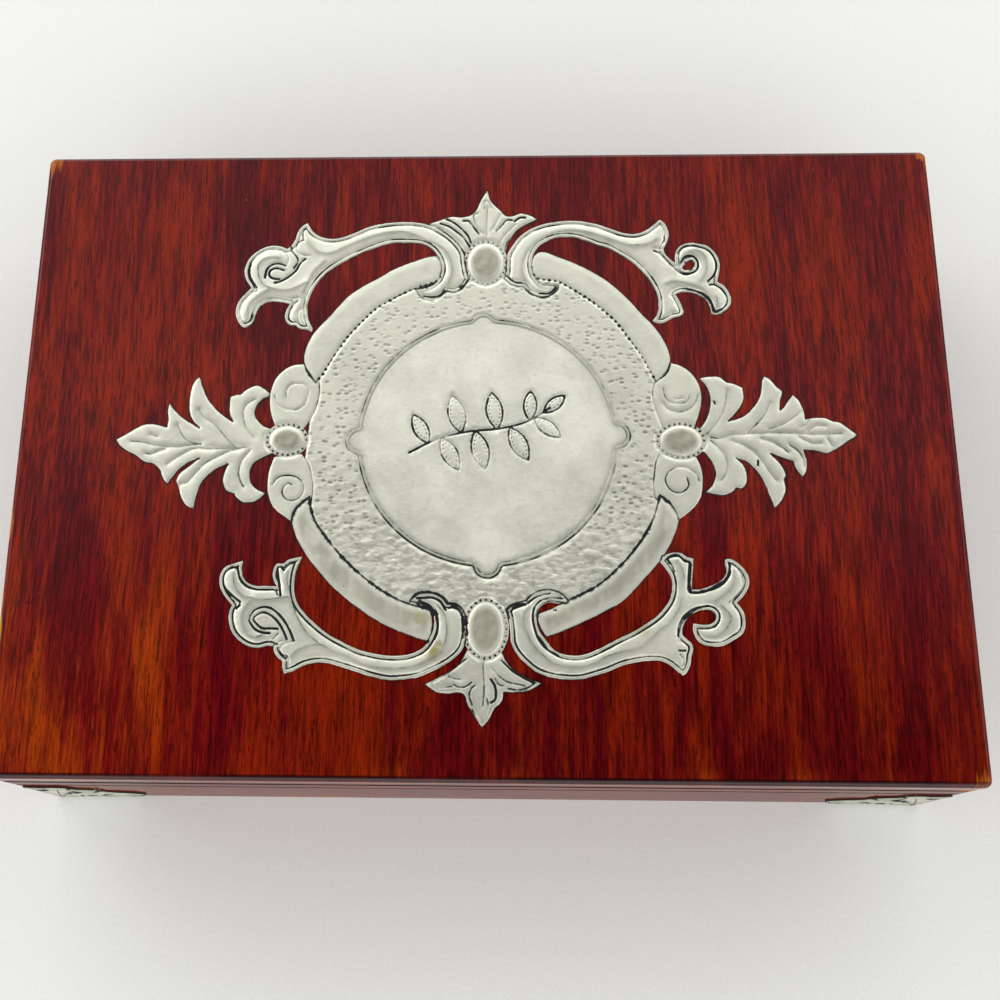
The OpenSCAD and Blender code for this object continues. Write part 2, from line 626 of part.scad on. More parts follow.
// Acanthus leaf at the right
leaf_r = [
    [119.7, 2.7, 1], [117, 5], [114, 7.2], [112, 7.5, 1], [109.5, 8.6], [106, 8.6], [103.5, 8.2, 1],
    [103, 11.5], [101.8, 14.5], [100, 16.6, 1], [98.3, 14.5], [96.8, 12.2], [95.6, 11.2, 1],
    [95.8, 14], [96.9, 17.5, 1], [94.8, 19.5], [93, 21.8], [91, 23, 1], [90.3, 20.5], [89.8, 17],
    [88.3, 13.8], [86, 11], [83, 8.8], [79, 7.6, 1], [81, 9.5], [83.3, 12.5], [84.4, 15.5],
    [84.1, 18.9, 1], [81.5, 20.2], [79, 20.8, 1], [77, 22.5], [74, 22.8], [70.3, 22.2, 1],
    [72.3, 19.5], [73.4, 15.5], [73, 11.5], [71.8, 8], [70, 5.5], [68, 4, 1], [68, -2, 1],
    [69.8, -2.5], [71.5, -4], [73.3, -6.8], [74, -10], [73.2, -13], [71.8, -15], [70, -16.2, 1],
    [73.5, -17], [76.5, -17.2], [79, -16.2], [80.3, -14.9, 1], [82.3, -15], [83.7, -13.2],
    [84, -10.5], [83.2, -7.5], [80.7, -4.8, 1], [84, -6.2], [87, -9.5], [89.3, -13.5], [90.5, -17],
    [92, -21.4, 1], [94.3, -19], [95.8, -15.5], [95.5, -12, 1], [96.2, -10.5], [94.8, -7],
    [91.7, -3.4, 1], [95, -4.8], [98.5, -6, 1], [99.3, -8.5], [101.2, -11.2, 1], [102.5, -9.5],
    [103, -6], [102.3, -2.3, 1], [105, -2.4], [109.5, -3.3], [112.5, -2], [115.5, 0], [118, 1.6]
];

// Corner mount: how far along the box, then how high, from the lower corner
corner_leaf = [
    [0, 0, 1], [0, 40, 1], [6, 38.8], [10.5, 40, 1], [14.5, 37.5], [16.6, 31.5, 1], [20.5, 30],
    [23.5, 26.5], [24.6, 21, 1], [29, 19], [33, 16], [36, 12, 1], [34.5, 6], [31, 0, 1]
];
corner_ribs = [
    [[4, 4, 1], [5.5, 14], [8, 25], [11, 36, 1]],
    [[4.6, 8, 1], [8.5, 16], [14, 22.5], [20.5, 26, 1]],
    [[4, 4, 1], [12, 7.5], [22, 10.5], [32, 11.5, 1]]
];
// Hammered plate: it ends just under the four bands
plate = [
    [1.6, 58.6], [-21, 55.8], [-39, 45.2], [-52, 27.6], [-56.2, 1], [-55.6, -22], [-44.6, -38.4],
    [-23, -53.6], [1.6, -56.6], [22, -54.6], [43, -41.6], [56.2, -20], [59, 1], [55.4, 26], [41.4, 47.4],
    [20, 58.4]
];
// Stem of the sprig chased in the middle of the medallion
sprig_stem = [[-23, -3, 1], [-14, 1.5], [-4, 4], [6, 5], [15, 7.5], [22, 12, 1]];
// Leaves of the sprig: where each one leaves the stem, its direction and its length
sprig_leaves = [
    [-17, 0, 118, 11], [-13, 1.8, -62, 12], [-6.5, 3.6, 104, 13], [-2, 4.2, -76, 13],
    [5, 4.8, 98, 12.5], [9, 5.4, -62, 12.5], [15.5, 7.8, 88, 10], [17, 8.6, -38, 10.5], [20, 10.4, 40, 9]
];
// Ribs along the arms, the leaves and the palmettes
ribs = [
    [[-57, 72.5, 1], [-54, 69.6], [-50, 69], [-46, 70.3], [-40, 73], [-34, 75], [-28, 75.6], [-22, 74.6],
     [-16.5, 71.5], [-12.2, 66.5], [-10.6, 61], [-11.8, 56.2], [-15, 53.2], [-18.5, 52.3, 1]],
    [[57.6, 75.5, 1], [54.5, 72.4], [50.5, 71.2], [46, 71.8], [40, 74], [34, 75.8], [28, 76.2], [22, 74.8],
     [17, 71.6], [13.6, 67], [12.5, 61.5], [14, 57], [17.4, 53.6], [21.5, 53, 1]],
    [[-58, -70.8, 1], [-54, -67.6], [-50, -67], [-45, -67.6], [-38, -70], [-32, -71.8], [-26, -72.4],
     [-20, -71.4], [-14, -67.6], [-10.8, -62.5], [-10.6, -57.5], [-12.6, -53.2], [-16.5, -50.6, 1]],
    [[60.4, -70.8, 1], [56.5, -67.2], [51, -66.2], [45, -67], [38, -69.4], [31, -71.4], [25, -71.4],
     [19.5, -69], [15, -64], [13.3, -58.5], [14.2, -53.4], [17.5, -50], [22, -49.2, 1]],
    [[-60, 57.5, 1], [-64, 55], [-68, 54.4], [-72.4, 55.8], [-75, 59], [-75.2, 62.6], [-72.8, 65.6],
     [-69, 66.4, 1]],
    [[61.5, 56.5, 1], [66, 57.4], [70.5, 57.6], [74, 60], [74.6, 63.6], [72.4, 66.4], [69, 66.6, 1]],
    [[-62, -52, 1], [-66, -51.6], [-70.5, -52.6], [-73.8, -56], [-73.6, -60], [-70.8, -62.6],
     [-67.5, -62.4, 1]],
    [[63, -51.6, 1], [68, -50.6], [73, -51.8], [76.3, -55], [76, -59.4], [72.6, -61.6], [68.6, -61.2, 1]],
    [[-58.6, 46, 1], [-58.8, 52], [-56, 59], [-50.5, 65.5], [-44, 69.5, 1]],
    [[58.9, 47, 1], [59.4, 53], [56.6, 60], [51, 66.6], [45, 70.6, 1]],
    [[-59, -42, 1], [-59.6, -49], [-56.8, -56.5], [-50.5, -63], [-43, -67, 1]],
    [[60.6, -41, 1], [61, -49], [57.4, -56.5], [50.5, -62.4], [43, -66.6, 1]],
    [[-71, 52.6, 1], [-75, 51.5], [-77.8, 48.6], [-78.4, 44.5, 1]],
    [[70, 55.6, 1], [74.6, 54], [77.6, 51], [78, 47.6, 1]],
    [[-66, -49, 1], [-73, -48.8], [-77.4, -46.4], [-77.6, -42.4, 1]],
    [[66, -49.6, 1], [73, -49], [77.6, -45.6], [78.6, -41, 1]],
    [[-69, 0.6, 1], [-80, -0.6], [-92, -0.4], [-104, 0.4], [-114, 1.4, 1]],
    [[-79, -0.6, 1], [-85.5, 4.5], [-90.5, 11.5], [-93, 19.5, 1]],
    [[-92, -0.4, 1], [-97.5, 4.2], [-100.8, 10.5, 1]],
    [[-81, -0.8, 1], [-87, -5], [-91.6, -11], [-93.4, -18.5, 1]],
    [[-93, -0.6, 1], [-98, -4.4], [-100.8, -10, 1]],
    [[-72, 1, 1], [-76, 5.8], [-78, 11], [-76.4, 15.8, 1]],
    [[-72, -0.8, 1], [-76.6, -5.6], [-78, -11], [-75.6, -15.6, 1]],
    [[70, 1.4, 1], [82, 2.8], [95, 3.2], [107, 3], [116, 3, 1]],
    [[83, 2.8, 1], [88.6, 8.6], [92, 15], [92.4, 20.5, 1]],
    [[92, 3.2, 1], [97.4, 7.4], [100, 13.4, 1]],
    [[78, 1.8, 1], [85, -3], [90, -9.5], [92.4, -18, 1]],
    [[91, 2.4, 1], [97, -1.6], [100.8, -7.6, 1]],
    [[72, 1.6, 1], [76.4, 6.8], [78.6, 12.8], [77, 19.4, 1]],
    [[73, 0.6, 1], [77.4, -4.6], [78.4, -9.8], [76, -14.4, 1]],
    [[1.6, 71, 1], [1.8, 80], [1.9, 88, 1]],
    [[-1.4, 71, 1], [-3.4, 75.6], [-6, 78.8, 1]],
    [[-3.6, 70.6, 1], [-7, 75.4], [-12.4, 78.4, 1]],
    [[4.6, 71, 1], [6.4, 75.4], [9.4, 78.6, 1]],
    [[6, 70.4, 1], [9.6, 75.4], [15, 79.2, 1]],
    [[0.4, -70, 1], [0.6, -78], [0.4, -87, 1]],
    [[-2, -70.4, 1], [-5.6, -74.2], [-12.6, -77.2, 1]],
    [[3.6, -70.2, 1], [7.6, -74], [15, -76.9, 1]]
];
// Raised bosses: centre, half-width and half-height
bosses = [[-62.8, 1.2, 4.6, 3.4], [63.6, 0.9, 5.6, 4], [1.2, 63.5, 5, 5.6], [1.5, -60, 4.6, 7.2]];
// Spiral eyes of the volutes: centre, outer radius and turning sense
spirals = [[-61, 16.6, 5.4, 1], [-61.2, -15.4, 5.4, -1], [63.6, 16.6, 5.4, -1], [63, -13, 5.4, 1]];
// Lobes that break the medallion's rim
rim_lobes = [[0.5, 40.8], [1.9, -39.7], [-39.3, 0.7], [43.3, 2.6]];
medallion_at = [2, 1.2];                        // centre of the medallion's rim
medallion_r = 42;                               // outer radius of its rim
medallion_rim_w = 1;                             // width of its rim
lobe_r = 4.6;                                   // radius of a lobe

// ---------------------------------------------------------------- curves

turn_step = 22;                                 // a straight piece of a curve turns this far at most

function knot(p, i) = let(k = p[(i + len(p)) % len(p)]) [k[0], k[1]];
function is_corner(p, i) = len(p[(i + len(p)) % len(p)]) > 2;
function toward(v, length) = v * length / norm(v);

// Heading of the curve at a knot: along the span at a corner, else along its neighbours
function heading_out(p, i) = is_corner(p, i) ? knot(p, i + 1) - knot(p, i) : knot(p, i + 1) - knot(p, i - 1);
function heading_in(p, i) = is_corner(p, i) ? knot(p, i) - knot(p, i - 1) : knot(p, i + 1) - knot(p, i - 1);

// How many straight pieces the span from knot i to knot i + 1 takes
function between(u, v) = acos(min(1, max(-1, u * v / (norm(u) * norm(v)))));
function span_steps(p, i) =
    let(chord = knot(p, i + 1) - knot(p, i))
    max(1, ceil((between(heading_out(p, i), chord) + between(chord, heading_in(p, i + 1))) / turn_step));

// Cubic from knot i to knot i + 1, without its last point
function span(p, i) =
    let(
        a = knot(p, i),
        b = knot(p, i + 1),
        length = norm(b - a),
        u = toward(heading_out(p, i), length),
        v = toward(heading_in(p, i + 1), length),
        steps = span_steps(p, i)
    )
    [for (k = [0 : steps - 1])
        let(t = k / steps)
        (2 * t^3 - 3 * t^2 + 1) * a + (t^3 - 2 * t^2 + t) * u + (3 * t^2 - 2 * t^3) * b + (t^3 - t^2) * v];

function closed_curve(p) = [for (i = [0 : len(p) - 1]) each span(p, i)];
function open_curve(p) = [for (i = [0 : len(p) - 2]) each span(p, i), knot(p, len(p) - 1)];

// Left-hand normal of a drawn line at one of its points
function normal_at(c, i) =
    let(d = c[min(i + 1, len(c) - 1)] - c[max(i - 1, 0)])
    [-d[1], d[0]] / norm(d);

// A strip that follows a line and thins towards its far end
module ribbon(c, wide) {
    last = len(c) - 1;
    side = [for (i = [0 : last]) normal_at(c, i) * wide * (1 - (1 - taper) * i / last) / 2];
    left = [for (i = [0 : last]) c[i] + side[i]];
    right = [for (i = [0 : last]) c[last - i] - side[last - i]];
    polygon(concat(left, right));
}

// Outline of a boss b = [x, y, half width, half height], grown by some margin all round
function boss_outline(b, grow) =
    [for (i = [0 : boss_n - 1])
        let(a = 360 * i / boss_n)
        [b[0] + (b[2] + grow) * cos(a), b[1] + (b[3] + grow) * sin(a)]];

// Line of a spiral eye, from its outer radius in to its middle
function spiral(s) =
    [for (i = [0 : spiral_n])
        let(r = s[2] * (1 - spiral_close * i / spiral_n), a = s[3] * 360 * spiral_turns * i / spiral_n)
        [s[0] + r * cos(a), s[1] + r * sin(a)]];

// ---------------------------------------------------------------- pewter

arms = [arm_tl, arm_tr, arm_bl, arm_br];
bands = [band_ul, band_ur, band_ll, band_lr];
volutes = [vol_ul, vol_ll, vol_ur, vol_lr];
foliage = [palm_t, palm_b, leaf_l, leaf_r];
drawn_w = leaf_r[0][0] - leaf_l[0][0];
cartouche_at = [0, 0.75];                       // the cartouche sits a little off the lid's middle
draw_scale = cartouche_w / drawn_w;             // from the drawing to the sheet
rib_w = 1.3;                                    // ribs along the arms and leaves
spiral_w = 0.9;                                 // line of a volute's eye
stem_w = 1.1;                                   // stem of the sprig
taper = 0.55;                                   // width of a rib's far end, as a share of its start
boss_n = 20;                                    // points on a boss's outline
boss_seat = 1.6;                                // sheet left round a boss
boss_moat = 0.9;                                // hollow between a boss and the forms round it
boss_bevel = 0.9;                               // the crown of a boss is smaller by this all round
boss_rise = 1.4;                                // height of the crown, as a share of the relief
spiral_n = 20;                                  // points along a volute's eye
spiral_turns = 1.5;
spiral_close = 0.78;                            // how much of its radius a spiral loses
leaf_bulge = 0.42;                              // half width of a sprig leaf, as a share of its half length
join = 0.01;                                    // overlap that joins outlines which only touch
forms_root = pewter_t / 2;                      // the two steps start at different depths in the sheet
ribs_root = pewter_t / 4;
low_step = 0.55;                                // share of the relief that the first step takes

// Each level is joined flat before it is given its height
module joined() {
    offset(delta = join)
        union()
            children();
}

// The whole sheet, as it is cut out
module sheet_outline() {
    joined()
        difference() {
            union() {
                for (p = concat([plate], bands, arms, volutes, foliage))
                    polygon(closed_curve(p));
                for (b = bosses)
                    polygon(boss_outline(b, boss_seat));
            }
            polygon(closed_curve(hole_tr));
            polygon(closed_curve(hole_br));
        }
}

// Leaf of the sprig: two arcs that meet in a point
module sprig_leaf(s) {
    half = s[3] / 2;
    bulge = leaf_bulge * half;
    r = (half * half + bulge * bulge) / (2 * bulge);
    translate([s[0], s[1]])
        rotate(s[2])
            translate([half, 0])
                intersection() {
                    translate([0, bulge - r])
                        circle(r = r);
                    translate([0, r - bulge])
                        circle(r = r);
                }
}

// The medallion is a circle with four small lobes
module medallion() {
    translate(medallion_at)
        circle(r = medallion_r, $fn = 60);
    for (at = rim_lobes)
        translate(at)
            circle(r = lobe_r, $fn = 20);
}

module medallion_rim() {
    difference() {
        medallion();
        offset(delta = -medallion_rim_w)
            medallion();
    }
}

// First step of the relief: scrolls, bands and volutes stand inside their own flat rims
module forms_outline() {
    difference() {
        joined()
            for (p = concat(arms, bands, volutes))
                offset(delta = -rim_w)
                    polygon(closed_curve(p));
        for (b = bosses)
            polygon(boss_outline(b, boss_moat));
    }
}

// Second step: ribs, spiral eyes, the medallion's rim and its sprig
module ribs_outline() {
    joined() {
        for (r = ribs)
            ribbon(open_curve(r), rib_w);
        for (s = spirals)
            ribbon(spiral(s), spiral_w);
        medallion_rim();
        ribbon(open_curve(sprig_stem), stem_w);
        for (s = sprig_leaves)
            sprig_leaf(s);
        for (b = bosses)
            polygon(boss_outline(b, 0));
    }
}

module lid_cartouche() {
    color(pewter)
        translate([cartouche_at[0], cartouche_at[1], box_h])
            scale([draw_scale, draw_scale, 1]) {
                linear_extrude(pewter_t)
                    sheet_outline();
                translate([0, 0, forms_root])
                    linear_extrude(pewter_t - forms_root + low_step * relief_h)
                        forms_outline();
                translate([0, 0, ribs_root])
                    linear_extrude(pewter_t - ribs_root + relief_h)
                        ribs_outline();
                for (b = bosses)
                    translate([0, 0, pewter_t])
                        linear_extrude(boss_rise * relief_h)
                            polygon(boss_outline(b, -boss_bevel));
            }
}

// Corner mount on the front wall, drawn for the left corner
module corner_mount() {
    k = corner_size / corner_leaf[1][1];
    translate([-half_w, -half_d, corner_lift])
        rotate([90, 0, 0])
            scale([k, k, 1]) {
                linear_extrude(pewter_t)
                    polygon(closed_curve(corner_leaf));
                linear_extrude(pewter_t + low_step * relief_h)
                    offset(delta = -rim_w)
                        polygon(closed_curve(corner_leaf));
                linear_extrude(pewter_t + relief_h)
                    for (r = corner_ribs)
                        ribbon(open_curve(r), rib_w);
            }
}

module front_left_corner_mount() {
    color(pewter)
        corner_mount();
}

module front_right_corner_mount() {
    color(pewter)
        mirror([1, 0, 0])
            corner_mount();
}

// ---------------------------------------------------------------- pieces

base_panel();
front_wall();
back_wall();
left_wall();
right_wall();
long_divider_front();
long_divider_rear();
cross_divider_left();
cross_divider_middle();
cross_divider_right();
front_left_corner_mount();
front_right_corner_mount();
lid_panel();
lid_front_rail();
lid_back_rail();
lid_left_rail();
lid_right_rail();
lid_cartouche();
hinge_left_body_leaf();
hinge_left_lid_leaf();
hinge_left_pin();
hinge_right_body_leaf();
hinge_right_lid_leaf();
hinge_right_pin();
body_leaf_screws();
lid_leaf_screws();
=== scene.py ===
# %% [markdown]
# # A tea bag organizer box with a pewter cartouche
# A shallow wooden box, 300 mm wide, stained mahogany red and varnished. Its lid carries a sheet of pewter,
# pierced, chased and hammered by hand, and two small pewter mounts cover the front corners.
# The walls, the rails, the dividers and the hinges come ready-made from the drawing of the box. This notebook
# gives every piece its finish, chases the pewter as real relief, eases the edges of the lid panel, and sets
# the light and the camera.
# All drawing below is in millimetres on the lid; lengths turn to metres only when a mesh is made.

import math

import bpy
import numpy as np
from mathutils import Matrix, Vector, geometry


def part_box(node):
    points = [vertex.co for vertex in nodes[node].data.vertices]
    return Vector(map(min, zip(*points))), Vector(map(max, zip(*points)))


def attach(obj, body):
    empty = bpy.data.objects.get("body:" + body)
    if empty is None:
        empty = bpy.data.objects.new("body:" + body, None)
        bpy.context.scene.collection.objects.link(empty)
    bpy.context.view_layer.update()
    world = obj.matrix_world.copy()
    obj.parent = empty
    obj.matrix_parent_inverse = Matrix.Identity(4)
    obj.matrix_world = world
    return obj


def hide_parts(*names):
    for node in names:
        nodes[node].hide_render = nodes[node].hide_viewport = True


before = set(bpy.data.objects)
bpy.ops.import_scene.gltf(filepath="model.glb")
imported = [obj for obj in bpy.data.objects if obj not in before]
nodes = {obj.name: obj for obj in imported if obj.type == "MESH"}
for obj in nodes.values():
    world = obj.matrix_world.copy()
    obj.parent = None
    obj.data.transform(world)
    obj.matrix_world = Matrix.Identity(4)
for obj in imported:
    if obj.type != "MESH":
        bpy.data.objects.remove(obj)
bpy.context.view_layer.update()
MM = 0.001
low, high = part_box("lid_panel")
panel_w, panel_d = (high.x - low.x) / MM, (high.y - low.y) / MM
lid_top = high.z / MM
print(f"box {panel_w:.1f} x {panel_d:.1f} mm, lid top at {lid_top:.1f} mm, {len(nodes)} pieces")

# %% [markdown]
# ## Curves
# A silversmith draws each scroll as a flowing line through a few points and lets the hand do the rest.
# These small functions do the same: a closed outline or an open line passes smoothly through its points, and
# a third value of 1 makes a sharp corner, as at a leaf's tip. Blender's own curves could do it too, but plain
# points are easier to sort into a net later.

# %% Lines through points
def flow(knots, closed=True, piece=0.6):
    """Points about `piece` mm apart along the smooth line through the knots."""
    points = np.array([k[:2] for k in knots], float)
    corner = [len(k) > 2 for k in knots]
    n = len(points)
    out = []
    for i in range(n if closed else n - 1):
        j = (i + 1) % n
        a, b = points[i], points[j]
        chord = b - a
        length = np.linalg.norm(chord)
        u = chord if corner[i] or (not closed and i == 0) else b - points[i - 1]
        v = chord if corner[j] or (not closed and j == n - 1) else points[(j + 1) % n] - a
        u, v = u * length / np.linalg.norm(u), v * length / np.linalg.norm(v)
        steps = max(1, int(round(length / piece)))
        for t in np.arange(steps) / steps:
            out.append((2 * t**3 - 3 * t**2 + 1) * a + (t**3 - 2 * t**2 + t) * u
                       + (3 * t**2 - 2 * t**3) * b + (t**3 - t**2) * v)
    if not closed:
        out.append(points[-1])
    return np.array(out)


def ellipse(at, a, b, n):
    """An outline of n points; a and b are the half-width and the half-height."""
    turn = 2 * math.pi * np.arange(n) / n
    return np.c_[at[0] + a * np.cos(turn), at[1] + b * np.sin(turn)]


def spaced(line, step):
    """Points exactly `step` mm apart along a line that is already drawn."""
    leg = np.linalg.norm(np.diff(line, axis=0), axis=1)
    run = np.r_[0, np.cumsum(leg)]
    at = np.arange(0, run[-1], step)
    return np.c_[np.interp(at, run, line[:, 0]), np.interp(at, run, line[:, 1])]


trial = flow([(0, 0), (10, 5), (20, 0)], False)
print("a line through 3 points becomes", len(trial), "points, and", len(spaced(trial, 2)), "dots 2 mm apart")

# %% Distance from a line, and the inside of an outline
AT_ONCE = 2000          # points worked on together, so that the tables stay small


def gap_to(points, line, closed=True):
    """How far each point lies from a line, in mm."""
    a, b = line, np.roll(line, -1, axis=0)
    if not closed:
        a, b = a[:-1], b[:-1]
    d = b - a
    length2 = np.maximum((d**2).sum(1), 1e-12)
    out = np.zeros(len(points))
    for s in range(0, len(points), AT_ONCE):
        p = points[s:s + AT_ONCE]
        rx = p[:, None, 0] - a[None, :, 0]
        ry = p[:, None, 1] - a[None, :, 1]
        t = np.clip((rx * d[:, 0] + ry * d[:, 1]) / length2, 0, 1)
        out[s:s + AT_ONCE] = np.hypot(rx - t * d[:, 0], ry - t * d[:, 1]).min(1)
    return out


def inside(points, loop):
    """Which points lie inside a closed outline."""
    x0, y0 = loop[:, 0], loop[:, 1]
    x1, y1 = np.roll(x0, -1), np.roll(y0, -1)
    out = np.zeros(len(points), bool)
    near = np.flatnonzero(((points > loop.min(0)) & (points < loop.max(0))).all(1))
    for s in range(0, len(near), AT_ONCE):
        k = near[s:s + AT_ONCE]
        px, py = points[k, 0][:, None], points[k, 1][:, None]
        crosses = (y0 > py) != (y1 > py)
        with np.errstate(divide="ignore", invalid="ignore"):
            at = x0 + (py - y0) * (x1 - x0) / (y1 - y0)
        out[k] = (crosses & (px < at)).sum(1) % 2 == 1
    return out


oval, middle = ellipse((0, 0), 10, 6, 60), np.zeros((1, 2))
print("middle of an oval 12 mm high:", gap_to(middle, oval).round(2), "mm from it, inside", inside(middle, oval))

# %% Soft steps and waves
def ease(x, a, b):
    """0 below a, 1 above b, and a soft step between."""
    t = np.clip((x - a) / (b - a), 0, 1)
    return t * t * (3 - 2 * t)


def ripple(x, y, seed, size, octaves=3):
    """Soft random waves of about `size` mm, between -1 and 1."""
    rng = np.random.default_rng(seed)
    out = np.zeros(len(x))
    for o in range(octaves):
        for _ in range(6):
            way, phase = rng.uniform(0, 2 * math.pi, 2)
            wave = 2 * math.pi / (size * rng.uniform(0.7, 1.4) / 2**o)
            out += np.sin(wave * (x * math.cos(way) + y * math.sin(way)) + phase) / 2**o
    return out / (6 * 0.9)


print("curves ready")

# %% [markdown]
# ## The outlines of the cartouche
# Such ornament is sawn out of one pewter sheet: four scrolled arms hold a round frame of four bands, with
# volutes and an acanthus leaf at each side and a palmette at the back and at the front. The points are in
# millimetres from the middle of the cartouche, x to the right and y to the back. One quarter could be drawn
# and mirrored, but the real one is sawn by hand and its four arms differ, so each has its own outline.

# %% Scrolled arms
# At the back left
arm_tl = [
    (-59.3, 78.7, 1), (-57.2, 75.4), (-54.5, 73.5), (-51, 72.8), (-47, 73.4), (-43, 75), (-38, 77.2),
    (-33, 78.4), (-28, 78.9), (-23, 78.8), (-18.2, 77.8), (-13, 75), (-9, 71.5), (-6.4, 67.6), (-5.6, 63),
    (-5, 59.5), (-4.2, 57.4, 1), (-6.5, 54.4), (-9.3, 52.8), (-11.7, 53.3, 1), (-13.6, 51.4), (-16, 50.1),
    (-18.4, 50), (-20.4, 51.2), (-22.1, 53.9, 1), (-18.3, 54.8), (-15.6, 56.4), (-14, 59), (-13.6, 62),
    (-14.6, 65.5), (-17, 68.7), (-20.5, 70.6), (-26, 71.1), (-31, 70.9), (-36, 69.3), (-44, 65.6),
    (-49.5, 62.2), (-53.5, 58.5), (-56.6, 53.5), (-58, 48.5), (-57.6, 43.5), (-56, 40, 1), (-56.3, 38.7, 1),
    (-57.5, 39.4), (-60, 39.7), (-61.8, 41, 1), (-63.6, 41.2), (-65, 42.4), (-65.5, 44.5), (-65, 46.8),
    (-64, 48.8, 1), (-67, 49.6), (-71, 49.7), (-73.6, 48.4), (-75, 46), (-75.7, 42.9), (-77.2, 41),
    (-79, 40.5), (-80.6, 41.9), (-81.8, 44.5), (-82, 47.5), (-81, 50.3), (-79, 52.9), (-77.4, 54.7, 1),
    (-79.2, 57.6), (-79.9, 61), (-79, 64.6), (-77, 67.3), (-74, 69.4), (-71, 70.3), (-68, 70),
    (-65.8, 69.1, 1), (-64.4, 70.3), (-63.2, 72.6), (-62.6, 75), (-61.4, 77.2)
]

# At the back right
arm_tr = [
    (59.5, 79.2, 1), (57.3, 77), (54.5, 75), (51, 74), (47, 74.5), (43, 76), (38, 77.8), (33, 78.8),
    (28.5, 79), (24, 78.5), (20, 77.6), (16, 75.8), (12.5, 73), (10, 69.5), (8.6, 66.8), (8.2, 64), (8, 60),
    (7.4, 57.6, 1), (9.5, 55.7), (11.8, 54.9), (13.8, 54.8, 1), (15.5, 52.8), (17.8, 51.4), (20.5, 50.9),
    (23, 51.8), (25, 53.6), (25.4, 55.3, 1), (22.5, 55.2), (20, 55.4), (18.2, 57.3), (16.9, 60), (16.6, 64),
    (17.4, 67), (19.3, 69.8), (22.5, 71.8), (26.5, 72.9), (31, 72.7), (35, 71.4), (38.5, 69.9), (42, 68.8),
    (46, 66.3), (50, 63.5), (53.5, 59.8), (56, 56), (57.7, 52), (58.1, 48), (57.5, 44.5), (56, 42.3, 1),
    (57.5, 41.6), (59.5, 41.6), (61.5, 42.6), (63, 43.3), (65, 43.9), (66.3, 44.8), (66.1, 47),
    (65.2, 49.5), (64, 51.7, 1), (66, 52.6), (69, 52.4), (72, 51.2), (73.8, 49.8), (74.8, 47.5),
    (75.4, 44.7, 1), (77, 44.4), (79.5, 45.5), (81.5, 47.3), (82.2, 49.7), (81.6, 52.3), (80, 54.8),
    (78, 56.3, 1), (78.4, 58.3), (79, 61), (78.9, 64), (77.6, 67), (75.2, 69.4), (72.5, 70.2), (70, 70.6),
    (67, 69.9), (65.1, 68.2), (64.3, 65.8), (64.2, 63.2, 1), (62.6, 64.6), (61, 66.6), (60.6, 68.4, 1),
    (61.8, 70.8), (62.6, 73.5), (62.2, 76), (61, 78.2)
]

# At the front left
arm_bl = [
    (-60.2, -74.1, 1), (-57.5, -73.3), (-54, -71.5), (-50.5, -70.7), (-47, -70.8), (-43, -71.9),
    (-38, -73.4), (-33, -75), (-28, -75.9), (-24, -75.7), (-19.5, -75), (-15.5, -73.4), (-11.5, -71.4),
    (-8, -69), (-5.6, -66.2), (-4.7, -63), (-4.5, -59), (-4.8, -56), (-6, -53.7), (-8, -52.3),
    (-10.3, -52.2, 1), (-11.8, -50.3), (-14, -49), (-17, -48.6), (-20, -49.2), (-22.2, -51.5, 1),
    (-19.5, -52), (-16.6, -53), (-15, -55), (-14.5, -58), (-15, -61), (-16.4, -64.1), (-18, -66),
    (-20.5, -67.4), (-23, -68.1), (-26.5, -68.4), (-30, -68.2), (-34, -67.5), (-38, -66.4), (-43, -64),
    (-47, -61.8), (-51, -58.8), (-54, -56), (-56.5, -53), (-57.8, -50), (-58.2, -46), (-57.8, -42),
    (-56.8, -38.9), (-56.1, -37.3, 1), (-58.5, -37.8), (-60.5, -38.3), (-62, -39.6, 1), (-64, -39.6),
    (-65, -41), (-65.3, -43.5), (-64.8, -45.3), (-63.9, -46.8, 1), (-67, -46.7), (-70, -46.7), (-72.5, -46),
    (-74.3, -44.2), (-75, -41.5), (-74.8, -38.7, 1), (-77, -39.5), (-80, -40.6), (-81.6, -42.6), (-82, -45),
    (-81.5, -47.6), (-79.8, -50.5), (-77.6, -53, 1), (-78.3, -55), (-78.2, -58), (-77, -61.5),
    (-74.5, -64.2), (-71.5, -65.9), (-68.5, -66.3), (-65.5, -65.6), (-63.9, -65.8, 1), (-63.6, -67.5),
    (-62.2, -69.5), (-61, -70.3), (-60.9, -72.3)
]

